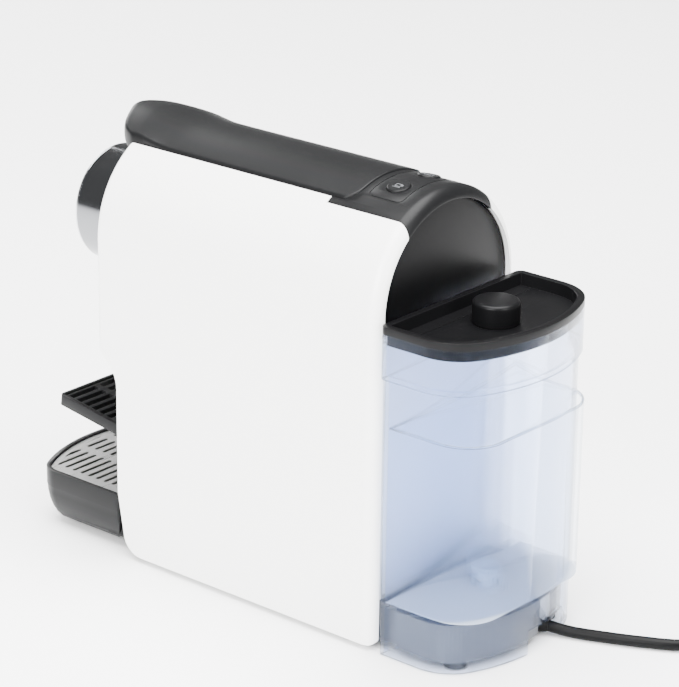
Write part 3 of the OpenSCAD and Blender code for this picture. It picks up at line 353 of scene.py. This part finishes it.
def cast_alloy():
    return moulded("cast_alloy", (0.52, 0.52, 0.53), 0.45, spread=0.2, shade=0.25, grain=700.0, bump=0.00008,
                   Metallic=1.0)


def turned_brass():
    return metal("turned_brass", (0.65, 0.46, 0.2), 0.25, (900, 60, 900))


# The faint waves of clear plastic and water: how close and how deep they are
CLEAR_WAVE_SCALE = 60.0
CLEAR_WAVE_DEPTH = 0.00006


def clear_moulding(name, colour, roughness, ior, alpha):
    """A clear plastic or liquid with a faint wave in its surface; alpha is the share that bends light."""
    if name in bpy.data.materials:
        return bpy.data.materials[name]
    material = bpy.data.materials.new(name)
    material.use_nodes = True
    nodes, links = material.node_tree.nodes, material.node_tree.links
    shader = nodes["Principled BSDF"]
    shader.inputs["Transmission Weight"].default_value = 1.0
    shader.inputs["Roughness"].default_value = roughness
    shader.inputs["IOR"].default_value = ior
    shader.inputs["Alpha"].default_value = alpha
    effect = nodes.new("ShaderNodeGroup")
    effect.node_tree = moulded_grain_group()
    effect.inputs["Colour"].default_value = (*colour, 1)
    effect.inputs["Grain Scale"].default_value = CLEAR_WAVE_SCALE
    effect.inputs["Shade"].default_value = 0.01
    relief = nodes.new("ShaderNodeBump")
    relief.inputs["Strength"].default_value = 1.0
    relief.inputs["Distance"].default_value = CLEAR_WAVE_DEPTH
    links.new(effect.outputs["Colour"], shader.inputs["Base Color"])
    links.new(effect.outputs["Height"], relief.inputs["Height"])
    links.new(relief.outputs["Normal"], shader.inputs["Normal"])
    return material


def tank_clear():
    return clear_moulding("tank_clear", bpy.context.scene.pod_tank.tint, 0.0, 1.12, 0.6)


def clear_water():
    return clear_moulding("clear_water", bpy.context.scene.pod_tank.water_tint, 0.0, 1.04, 0.6)


def waterline():
    """The pale rim of the water against the wall."""
    return clear_moulding("waterline", (0.80, 0.87, 0.97), 0.12, 1.33, 0.9)


def frosted_floor():
    """A pale sheet of painted light on the tank's floor: its pale colour stands in for the light gathered there."""
    return moulded("frosted_floor", (0.80, 0.87, 0.98), 0.16, spread=0.05, shade=0.06, grain=300.0, bump=0.00002,
                   Alpha=0.45)


# ---------------------------------------------------------------- modelling helpers

def clear_selection():
    """Leaves edit mode and deselects everything."""
    if bpy.context.object and bpy.context.object.mode != "OBJECT":
        bpy.ops.object.mode_set(mode="OBJECT")
    bpy.ops.object.select_all(action="DESELECT")


def only(piece):
    """Makes one piece the only selected and active one."""
    clear_selection()
    piece.select_set(True)
    bpy.context.view_layer.objects.active = piece


def edit(piece, kind="FACE", everything=True):
    """Enters edit mode on a piece, with all of it or nothing selected."""
    only(piece)
    bpy.ops.object.mode_set(mode="EDIT")
    bpy.ops.mesh.select_mode(type=kind)
    bpy.ops.mesh.select_all(action="SELECT" if everything else "DESELECT")


def select_points(piece, test):
    """Selects the vertices whose place passes a test, and stays in edit mode."""
    edit(piece, "VERT", False)
    bpy.ops.object.mode_set(mode="OBJECT")
    for vertex in piece.data.vertices:
        vertex.select = test(vertex.co)
    bpy.ops.object.mode_set(mode="EDIT")


def select_faces(piece, test):
    """Selects the faces whose middle and normal pass a test, and stays in edit mode."""
    edit(piece, "FACE", False)
    bpy.ops.object.mode_set(mode="OBJECT")
    for face in piece.data.polygons:
        face.select = test(face.center, face.normal)
    bpy.ops.object.mode_set(mode="EDIT")


def select_edges(piece, test):
    """Selects the edges whose two ends pass a test, and stays in edit mode."""
    edit(piece, "EDGE", False)
    bpy.ops.object.mode_set(mode="OBJECT")
    points = piece.data.vertices
    for one in piece.data.edges:
        one.select = test(points[one.vertices[0]].co, points[one.vertices[1]].co)
    bpy.ops.object.mode_set(mode="EDIT")


def cut_across(piece, axis, places):
    """Cuts a piece's mesh with planes across one axis, keeping both sides."""
    normal = [0, 0, 0]
    normal[axis] = 1
    for place in places:
        point = [0, 0, 0]
        point[axis] = place
        edit(piece)
        bpy.ops.mesh.bisect(plane_co=point, plane_no=normal)
    bpy.ops.object.mode_set(mode="OBJECT")


def block(name, low, high):
    """A box between two corners, with its place in its mesh."""
    clear_selection()
    low, high = Vector(low), Vector(high)
    bpy.ops.mesh.primitive_cube_add(size=1, location=(low + high) / 2, scale=high - low)
    piece = bpy.context.object
    piece.name = piece.data.name = name
    bpy.ops.object.transform_apply(location=True, rotation=True, scale=True)
    return piece


def round_edges(piece, width, segments=3, angle=35):
    """Rounds a piece's sharp edges with a bevel that is applied."""
    only(piece)
    bevel = piece.modifiers.new("edges", "BEVEL")
    bevel.width = width
    bevel.segments = segments
    bevel.limit_method = "ANGLE"
    bevel.angle_limit = math.radians(angle)
    bpy.ops.object.modifier_apply(modifier=bevel.name)


def smooth(piece, angle=35):
    only(piece)
    bpy.ops.object.shade_smooth_by_angle(angle=math.radians(angle))


def finish_piece(piece, body, material, stands_for=()):
    """Gives a finished piece its material and the body it moves with."""
    piece.data.materials.clear()
    piece.data.materials.append(material)
    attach(piece, body)
    if stands_for:
        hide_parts(*stands_for)
    return piece


def copy_of_node(node, name):
    """A new piece with the merged mesh of a CAD node, its flat faces joined up."""
    mesh = NODES[node].data.copy()
    mesh.name = name
    piece = bpy.data.objects.new(name, mesh)
    bpy.context.collection.objects.link(piece)
    edit(piece, "VERT")
    bpy.ops.mesh.customdata_custom_splitnormals_clear()
    bpy.ops.mesh.remove_doubles(threshold=0.000005)
    bpy.ops.mesh.dissolve_limited(angle_limit=math.radians(0.3))
    bpy.ops.object.mode_set(mode="OBJECT")
    return piece


def copy_of_piece(piece, name):
    """The same mesh again as a new piece."""
    twin = piece.copy()
    twin.data = piece.data.copy()
    bpy.context.collection.objects.link(twin)
    twin.name = twin.data.name = name
    return twin


def rounded_copy(node, body, material, width, segments=3, angle=35, smoothing=35):
    """The CAD node again with softened edges."""
    piece = copy_of_node(node, node + "_finished")
    round_edges(piece, width, segments, angle)
    smooth(piece, smoothing)
    return finish_piece(piece, body, material, (node,))


def dress(material, *nodes):
    """Puts a material on CAD nodes that show as they are."""
    for node in nodes:
        NODES[node].data.materials.clear()
        NODES[node].data.materials.append(material)


# ---------------------------------------------------------------- stage and cord

class POD_OT_stage(bpy.types.Operator):
    """Set up the floor, the lights and the camera"""
    bl_idname = "pod_machine.stage"
    bl_label = "Stage"

    def execute(self, context):
        look = context.scene.pod_stage
        self.add_camera(context, look)
        clear_selection()
        bpy.ops.mesh.primitive_plane_add(size=8, location=(0, 0, -0.0002))
        floor = context.object
        floor.name = "floor"
        material = moulded("pale_floor", look.floor_colour, 0.6, shade=0.004)
        floor.data.materials.append(material)
        self.add_light("top_softbox", (0.1, 0.2, 2.4), (0.0, 0.0, 0.1), 2.6, 440)
        self.add_light("side_softbox", (2.3, 0.5, 1.1), (0.0, 0.0, 0.12), 1.6, 160)
        self.add_light("rear_softbox", (0.4, 2.4, 1.0), (0.0, 0.1, 0.12), 1.2, 70)
        self.add_light("nose_softbox", (-0.9, -1.9, 0.9), (0.0, -0.1, 0.15), 0.8, 30)
        world = bpy.data.worlds.new("even_light")
        world.use_nodes = True
        sky = world.node_tree.nodes["Background"]
        sky.inputs["Color"].default_value = (1, 1, 1, 1)
        sky.inputs["Strength"].default_value = look.sky_strength
        context.scene.world = world
        return {"FINISHED"}

    def add_camera(self, context, look):
        """Puts the camera at its place, aimed and rolled."""
        place, aim = Vector(look.camera_place), Vector(look.camera_aim)
        forward = (aim - place).normalized()
        level = forward.cross(Vector((0, 0, 1))).normalized()
        upright = level.cross(forward)
        turn = look.camera_roll
        right = math.cos(turn) * level + math.sin(turn) * upright
        up = math.cos(turn) * upright - math.sin(turn) * level
        clear_selection()
        bpy.ops.object.camera_add()
        camera = context.object
        camera.name = "studio_camera"
        axes = Matrix((right, up, -forward)).transposed().to_4x4()
        camera.matrix_world = Matrix.Translation(place) @ axes
        camera.data.sensor_width = 36
        camera.data.lens = look.lens
        camera.data.clip_start = 0.05
        context.scene.camera = camera

    def add_light(self, name, place, aim, size, power):
        """A square soft light turned towards a point."""
        clear_selection()
        bpy.ops.object.light_add(type="AREA", location=place)
        light = bpy.context.object
        light.name = name
        light.data.size = size
        light.data.energy = power
        direction = Vector(aim) - Vector(place)
        light.rotation_euler = direction.to_track_quat("-Z", "Y").to_euler()


# The route of the cord from the strain relief's tip to its coil, as the CAD has it
CORD_ROUTE = [
    (-0.0214, 0.1514, 0.0052), (-0.0232, 0.1556, 0.0044), (-0.0250, 0.1600, 0.0037), (-0.0270, 0.1650, 0.0033),
    (-0.0294, 0.1708, 0.0032), (-0.0324, 0.1776, 0.0032), (-0.0356, 0.1850, 0.0032), (-0.0392, 0.1926, 0.0032),
    (-0.0424, 0.1988, 0.0032), (-0.0456, 0.2050, 0.0032), (-0.0496, 0.2118, 0.0032), (-0.0548, 0.2176, 0.0032),
    (-0.0609, 0.2226, 0.0032), (-0.0677, 0.2264, 0.0032), (-0.0752, 0.2289, 0.0032), (-0.0829, 0.2302, 0.0032),
    (-0.0900, 0.2304, 0.0032), (-0.0980, 0.2304, 0.0032),
]


def step_between(value, low, high):
    """0 below low, 1 above high and a smooth climb between them."""
    share = min(max((value - low) / (high - low), 0.0), 1.0)
    return share * share * (3 - 2 * share)


def coil_points(cord):
    """The coil: an outer and an inner turn on the floor, then the same two on top of them."""
    middle, half = cord.coil_place, cord.diameter / 2
    per_turn, turns = 32, 3.5
    points = []
    for i in range(1, int(per_turn * turns) + 1):
        done = i / per_turn
        inner = step_between(done, 0.78, 0.95) - step_between(done, 2.78, 2.95)
        upper = step_between(done, 1.78, 1.95)
        radius = cord.coil_radius + half - 2 * half * inner
        angle = math.radians(-90 - 360 * done)
        points.append((middle[0] + radius * math.cos(angle), middle[1] + radius * math.sin(angle),
                       CORD_HEIGHT + upper * cord.diameter))
    return points


class POD_OT_cord(bpy.types.Operator):
    """Lay the mains cord, its coil, its strain relief and its plug"""
    bl_idname = "pod_machine.cord"
    bl_label = "Cord"

    def execute(self, context):
        cord = context.scene.pod_cord
        side = cord.coil_place[1] + cord.coil_radius + cord.diameter / 2
        tail = [(cord.coil_place[0] + x, side, z) for x, z in ((0.006, 0.0092), (0.0115, 0.0089), (0.0145, 0.0087))]
        points = CORD_ROUTE + coil_points(cord) + tail
        data = bpy.data.curves.new("mains_cord", "CURVE")
        data.dimensions = "3D"
        line = data.splines.new("POLY")
        line.points.add(len(points) - 1)
        for spot, place in zip(line.points, points):
            spot.co = (*place, 1)
        data.bevel_depth = cord.diameter / 2
        data.bevel_resolution = 3
        data.use_fill_caps = True
        piece = bpy.data.objects.new("mains_cord", data)
        context.collection.objects.link(piece)
        data.materials.append(cord_sheath())
        for spline in data.splines:
            spline.use_smooth = True
        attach(piece, "housing")
        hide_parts("power_cord", "cord_coil")
        plug = self.plug()
        self.strain_relief()
        dress(cord_sheath(), "cord_tie")
        dress(frame_plastic(), "cord_clamp")
        return {"FINISHED"}

    def plug(self):
        """Moulded two-pin plug with a ribbed neck."""
        return rounded_copy("power_plug", "housing", cord_sheath(), 0.0012, 3, 40)

    def strain_relief(self):
        """Tapered sleeve, softened at both ends."""
        rounded_copy("strain_relief", "housing", cord_sheath(), 0.0004, 2, 50)


# ---------------------------------------------------------------- housing

class POD_OT_housing(bpy.types.Operator):
    """Finish the shells, the rear cover and the panels"""
    bl_idname = "pod_machine.housing"
    bl_label = "Housing"

    def execute(self, context):
        dress(white_shell(), "side_shell_left", "side_shell_right", "back_panel")
        dress(charcoal(), "front_panel", "top_deck", "pod_bin")
        dress(frame_plastic(), "base_chassis", "brew_frame")
        dress(rubber(), "rubber_feet", "tank_seal")
        rounded_copy("rear_cover", "housing", black_satin(), 0.0006)
        return {"FINISHED"}


# ---------------------------------------------------------------- lever and panel

class POD_OT_lever(bpy.types.Operator):
    """Model the lever's rounded bar, its raised tip and its geared arms"""
    bl_idname = "pod_machine.lever"
    bl_label = "Lever"

    # Columns from the middle out to the edge, how far each one's tip lies back and how far its end is tucked in
    COLUMNS = (0.0, 0.0055, 0.011, 0.0165, 0.0215, 0.0255, 0.0276)
    BOWS = (0.0, 0.0017, 0.0050, 0.0080, 0.0110, 0.0150, 0.0190, 0.0240)
    TUCKS = (0.0, 0.0, 0.0, 0.0, 0.0, 0.0012, 0.0030, 0.0066)
    # Rows behind the tip and ahead of the rear end
    TIP_ROWS = (0.0045, 0.009, 0.0135, 0.0175, 0.0185, 0.025, 0.032, 0.040, 0.050, 0.060, 0.100)
    END_ROWS = (0.0012, 0.004, 0.009, 0.025)
    # Lengths over which the tip rises, over which it is thick, and over which the tip and the end are bowed
    RISE_START, RISE_LENGTH = 0.060, 0.048
    THICK_LENGTH = 0.018
    TIP_LENGTH, END_LENGTH = 0.050, 0.025
    # The arms are cut off below the bar and drawn up into it
    ARM_CUT, ARM_REACH = 0.2256, 0.0056

    def execute(self, context):
        dress(plain_steel(), "lever_axle")
        dress(nylon(), "idler_gears")
        finish_piece(self.bar(context.scene.pod_lever), "lever", charcoal(), ("lever",))
        finish_piece(self.arms(), "lever", charcoal())
        return {"FINISHED"}

    def bar(self, look):
        """A flat bar, cut into rows and columns that are moved into the arch and the raised, bowed tip."""
        low, high = (Vector(c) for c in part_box("lever"))
        radius = ARCH_RADIUS + look.proud
        top = ARCH_Z + radius
        piece = block("lever_bar", (-high.x, low.y, top - look.thickness), (high.x, high.y, top))
        columns = (*self.COLUMNS, high.x)
        cut_across(piece, 0, [side * x for x in self.COLUMNS[1:] for side in (1, -1)] + [0])
        cut_across(piece, 1, [low.y + d for d in self.TIP_ROWS] + [high.y - d for d in self.END_ROWS])
        middle = top - look.thickness / 2
        for d in (0, *self.TIP_ROWS[:-1]):
            lift = look.rise * step_between(self.RISE_START - d, 0, self.RISE_LENGTH) ** 1.2
            self.move_points(piece, lambda p: abs(p.y - low.y - d) < NEAR and p.z > middle, lift)
            drop = look.tip_thickness - look.thickness if d < self.THICK_LENGTH else 0
            self.move_points(piece, lambda p: abs(p.y - low.y - d) < NEAR and p.z < middle, lift / 2 - drop)
        tip_start, end_start = low.y + self.TIP_LENGTH, high.y - self.END_LENGTH
        for x, bow, tuck in zip(columns, self.BOWS, self.TUCKS):
            self.move_points(piece, lambda p: abs(abs(p.x) - x) < NEAR, math.sqrt(radius ** 2 - x ** 2) - radius)
            select_points(piece, lambda p: abs(abs(p.x) - x) < NEAR and p.y < tip_start - 0.0001)
            bpy.ops.transform.resize(value=(1, 1 - bow / self.TIP_LENGTH, 1), center_override=(0, tip_start, 0))
            select_points(piece, lambda p: abs(abs(p.x) - x) < NEAR and p.y > end_start + 0.0001)
            bpy.ops.transform.resize(value=(1, 1 - tuck / self.END_LENGTH, 1), center_override=(0, end_start, 0))
        only(piece)
        rounding = piece.modifiers.new("rounding", "SUBSURF")
        rounding.levels = rounding.render_levels = 2
        bpy.ops.object.modifier_apply(modifier=rounding.name)
        smooth(piece, 80)
        return piece

    def move_points(self, piece, test, rise):
        """Lifts the vertices that pass a test."""
        select_points(piece, test)
        bpy.ops.transform.translate(value=(0, 0, rise))
        bpy.ops.object.mode_set(mode="OBJECT")

    def arms(self):
        """The geared arms cut from the CAD lever, drawn up into the bar."""
        piece = copy_of_node("lever", "lever_arms")
        edit(piece)
        bpy.ops.mesh.bisect(plane_co=(0, 0, 0), plane_no=(0, 1, 0), use_fill=True, clear_inner=True)
        edit(piece)
        bpy.ops.mesh.bisect(plane_co=(0, 0, self.ARM_CUT), plane_no=(0, 0, 1), use_fill=True, clear_outer=True)
        select_faces(piece, lambda middle, normal: normal.z > 0.99 and middle.z > self.ARM_CUT - 0.0001)
        bpy.ops.mesh.extrude_region_move(TRANSFORM_OT_translate={"value": (0, 0, self.ARM_REACH)})
        bpy.ops.object.mode_set(mode="OBJECT")
        smooth(piece, 30)
        return piece


class POD_OT_panel(bpy.types.Operator):
    """Finish the control panel and its two buttons with their cup symbols"""
    bl_idname = "pod_machine.panel"
    bl_label = "Control panel"

    # A button's distance from the centre plane along the slanted face, and the height of its face above the arch
    BUTTON_X = 0.0122
    BUTTON_TOP = 0.0007

    def execute(self, context):
        rounded_copy("control_panel", "housing", charcoal(), 0.0003, 2, 45)
        dress(circuit_green(), "button_board")
        for side, name, body, share in ((1, "button_small_cup", "small_cup_button", 0.75),
                                        (-1, "button_large_cup", "large_cup_button", 1.0)):
            rounded_copy(name, body, charcoal(), 0.0003, 2, 45)
            self.cup_symbol(side, body, share)
        return {"FINISHED"}

    def cup_symbol(self, side, body, share):
        """A plain cup outline with a handle and a saucer, raised a hair above the button's face."""
        low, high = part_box("button_small_cup" if side > 0 else "button_large_cup")
        lean = side * math.asin(self.BUTTON_X / ARCH_RADIUS)
        turn = Matrix.Rotation(lean, 4, "Y")
        middle = (low[1] + high[1]) / 2
        raised = Matrix.Translation((0, 0, ARCH_RADIUS + self.BUTTON_TOP))
        face = Matrix.Translation((0, middle, ARCH_Z)) @ turn @ raised
        line = 0.00035
        half = 0.0021 * share
        tall = 0.0030 * share
        ear = half + 0.0011
        saucer = half + 0.0006
        saucer_low = -tall / 2 - 0.0009
        strips = [((-half, -tall / 2), (-half, tall / 2)), ((half, -tall / 2), (half, tall / 2)),
                  ((-half, tall / 2), (half, tall / 2)), ((-half, -tall / 2), (half, -tall / 2)),
                  ((-saucer, saucer_low), (saucer, saucer_low)), ((half, tall / 4), (ear, tall / 4)),
                  ((ear, tall / 4), (ear, -tall / 6)), ((half, -tall / 6), (ear, -tall / 6))]
        clear_selection()
        parts = []
        for start, end in strips:
            low_corner = (min(start[0], end[0]) - line / 2, min(start[1], end[1]) - line / 2, 0)
            high_corner = (max(start[0], end[0]) + line / 2, max(start[1], end[1]) + line / 2, 0.00012)
            parts.append(block("cup_line", low_corner, high_corner))
        clear_selection()
        for part in parts:
            part.select_set(True)
        bpy.context.view_layer.objects.active = parts[0]
        bpy.ops.object.join()
        piece = bpy.context.object
        piece.name = body + "_symbol"
        piece.data.transform(face @ Matrix.Rotation(math.radians(90), 4, "Z"))
        finish_piece(piece, body, symbol_grey())


# ---------------------------------------------------------------- nose

class POD_OT_nose(bpy.types.Operator):
    """Finish the plated nose, its cap and the coffee spout"""
    bl_idname = "pod_machine.nose"
    bl_label = "Nose"

    def execute(self, context):
        rounded_copy("nose_cap", "housing", black_gloss(), 0.0003, 2, 30)
        dress(dark_chrome(), "nose_drum")
        dress(charcoal(), "coffee_spout")
        self.rim()
        return {"FINISHED"}

    def rim(self):
        """Thin bright ring round the front of the nose."""
        low, high = (Vector(c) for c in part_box("nose_drum"))
        radius = high.x - 0.0012
        clear_selection()
        bpy.ops.mesh.primitive_torus_add(
            major_segments=96, minor_segments=12, major_radius=radius, minor_radius=0.0011,
            location=(0, low.y + 0.0008, ARCH_Z), rotation=(math.radians(90), 0, 0))
        piece = bpy.context.object
        piece.name = "nose_rim"
        bpy.ops.object.transform_apply(location=True, rotation=True, scale=True)
        smooth(piece, 60)
        finish_piece(piece, "housing", bright_rim())


# ---------------------------------------------------------------- cup side

class POD_OT_tray(bpy.types.Operator):
    """Finish the drip tray, its grid and the cup shelf"""
    bl_idname = "pod_machine.tray"
    bl_label = "Tray and shelf"

    def execute(self, context):
        rounded_copy("drip_tray", "tray", charcoal(), 0.0008, 3, 40)
        rounded_copy("cup_shelf", "shelf", charcoal(), 0.0006, 2, 40)
        dress(stainless(), "drip_grid")
        dress(plain_steel(), "shelf_pin")
        return {"FINISHED"}


# ---------------------------------------------------------------- tank

class POD_OT_tank(bpy.types.Operator):
    """Finish the clear tank and fill it with water"""
    bl_idname = "pod_machine.tank"
    bl_label = "Tank"

    # The water keeps this far inside the tank's widest outline, and this is the top of the tank's floor
    WATER_INSET = 0.0043
    FLOOR_TOP = 0.0297
    CORNER_RADIUS = 0.0225
    # Top of the pale sheet of painted light on the floor before it is let down
    PAINTED_LIGHT_TOP = 0.0299

    def execute(self, context):
        tank = context.scene.pod_tank
        rounded_copy("tank_body", "tank", tank_clear(), 0.0005, 2, 40)
        dress(blue_plastic(), "valve_cage", "valve_plunger")
        dress(plain_steel(), "valve_spring")
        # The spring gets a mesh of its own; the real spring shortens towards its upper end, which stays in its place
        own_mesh(NODES["valve_spring"])
        self.water(tank)
        return {"FINISHED"}

    def water(self, tank):
        """The water, a block a little inside the tank's bounds and its wall, with its rear upright edges rounded."""
        low, high = (Vector(c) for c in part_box("tank_body"))
        right, rear = high.x - self.WATER_INSET, high.y - self.WATER_INSET
        front = low.y + self.WATER_INSET
        piece = block("tank_water", (-right, front, self.FLOOR_TOP), (right, rear, tank.water_level))
        mid_depth = (low.y + high.y) / 2
        select_edges(piece, lambda a, b: a.z != b.z and min(a.y, b.y) > mid_depth)
        bpy.ops.mesh.bevel(offset=self.CORNER_RADIUS, segments=10, affect="EDGES")
        bpy.ops.object.mode_set(mode="OBJECT")
        smooth(piece, 30)
        finish_piece(piece, "tank", clear_water())
        self.meniscus(piece)
        self.floor_painted_light(piece)

    def floor_painted_light(self, water):
        """A thin pale sheet of painted light on the tank's floor, with the water's outline, that makes the floor
        glow.
        """
        # This sheet is painted light: its pale colour stands in for light on the tank's floor
        piece = copy_of_piece(water, "tank_floor_sheen")
        select_points(piece, lambda p: p.z > 0.05)
        bpy.ops.transform.resize(value=(1, 1, 0), center_override=(0, 0, self.PAINTED_LIGHT_TOP))
        bpy.ops.object.mode_set(mode="OBJECT")
        edit(piece)
        bpy.ops.transform.resize(value=(0.994, 0.994, 1), center_override=(0, 0.127, 0))
        bpy.ops.transform.translate(value=(0, 0, -0.00015))
        bpy.ops.object.mode_set(mode="OBJECT")
        # Pale colour painted on the sheet stands in for light gathered on the tank's floor
        finish_piece(piece, "tank", frosted_floor())

    def meniscus(self, water):
        """The bead where the water's surface climbs the wall, swept round the water's own outline."""
        piece = copy_of_piece(water, "tank_waterline")
        select_faces(piece, lambda middle, normal: normal.z < 0.9)
        bpy.ops.mesh.delete(type="FACE")
        bpy.ops.object.mode_set(mode="OBJECT")
        edit(piece, "FACE")
        bpy.ops.mesh.inset(thickness=0.0013, depth=0)
        bpy.ops.mesh.delete(type="FACE")
        edit(piece, "FACE")
        bpy.ops.mesh.extrude_region_move(TRANSFORM_OT_translate={"value": (0, 0, 0.0009)})
        edit(piece, "FACE")
        bpy.ops.mesh.normals_make_consistent(inside=False)
        bpy.ops.object.mode_set(mode="OBJECT")
        finish_piece(piece, "tank", waterline())


class POD_OT_lid(bpy.types.Operator):
    """Finish the tank's lid and knob"""
    bl_idname = "pod_machine.lid"
    bl_label = "Lid"

    def execute(self, context):
        rounded_copy("tank_lid", "lid", black_satin(), 0.0006, 3, 40)
        rounded_copy("lid_knob", "lid", black_satin(), 0.0005, 3, 40)
        return {"FINISHED"}


# ---------------------------------------------------------------- inside

class POD_OT_inside(bpy.types.Operator):
    """Give the parts inside the body their materials"""
    bl_idname = "pod_machine.inside"
    bl_label = "Inside"

    def execute(self, context):
        dress(plain_steel(), "frame_screws", "piercing_plate", "brew_tube", "pump_piston", "pump_spring",
              "base_screws")
        dress(stainless(), "extraction_plate")
        dress(cast_alloy(), "brew_cage", "thermoblock")
        dress(turned_brass(), "inlet_gland")
        dress(nylon(), "thermal_fuse", "flow_meter")
        dress(coil_black(), "pump_body")
        dress(rubber(), "pump_mounts")
        dress(silicone(), "hose_inlet", "hose_pump", "hose_pressure", "hose_brew")
        dress(circuit_green(), "control_board")
        return {"FINISHED"}


# ---------------------------------------------------------------- add-on

class POD_PT_machine(bpy.types.Panel):
    """Lists the operators and the settings"""
    bl_idname = "POD_PT_machine"
    bl_label = "Pod Coffee Machine"
    bl_space_type = "VIEW_3D"
    bl_region_type = "UI"
    bl_category = "Coffee Machine"

    def draw(self, context):
        for group in SETTINGS:
            held = getattr(context.scene, group)
            for name in held.__annotations__:
                self.layout.prop(held, name)
        for operator in OPERATORS:
            self.layout.operator(operator.bl_idname)


SETTINGS = {
    "pod_stage": StageSettings, "pod_cord": CordSettings, "pod_lever": LeverSettings, "pod_tank": TankSettings,
    "pod_finish": FinishSettings,
}
OPERATORS = (POD_OT_stage, POD_OT_cord, POD_OT_housing, POD_OT_lever, POD_OT_panel, POD_OT_nose, POD_OT_tray,
             POD_OT_tank, POD_OT_lid, POD_OT_inside)


def register():
    for group in SETTINGS.values():
        bpy.utils.register_class(group)
    for name, group in SETTINGS.items():
        setattr(bpy.types.Scene, name, bpy.props.PointerProperty(type=group))
    for cls in (*OPERATORS, POD_PT_machine):
        bpy.utils.register_class(cls)


def unregister():
    for cls in reversed((*OPERATORS, POD_PT_machine)):
        bpy.utils.unregister_class(cls)
    for name in SETTINGS:
        delattr(bpy.types.Scene, name)
    for group in reversed(SETTINGS.values()):
        bpy.utils.unregister_class(group)


def main():
    """Builds everything in order."""
    register()
    bpy.ops.pod_machine.stage()
    bpy.ops.pod_machine.cord()
    bpy.ops.pod_machine.housing()
    bpy.ops.pod_machine.lever()
    bpy.ops.pod_machine.panel()
    bpy.ops.pod_machine.nose()
    bpy.ops.pod_machine.tray()
    bpy.ops.pod_machine.tank()
    bpy.ops.pod_machine.lid()
    bpy.ops.pod_machine.inside()


if __name__ == "__main__":
    main()
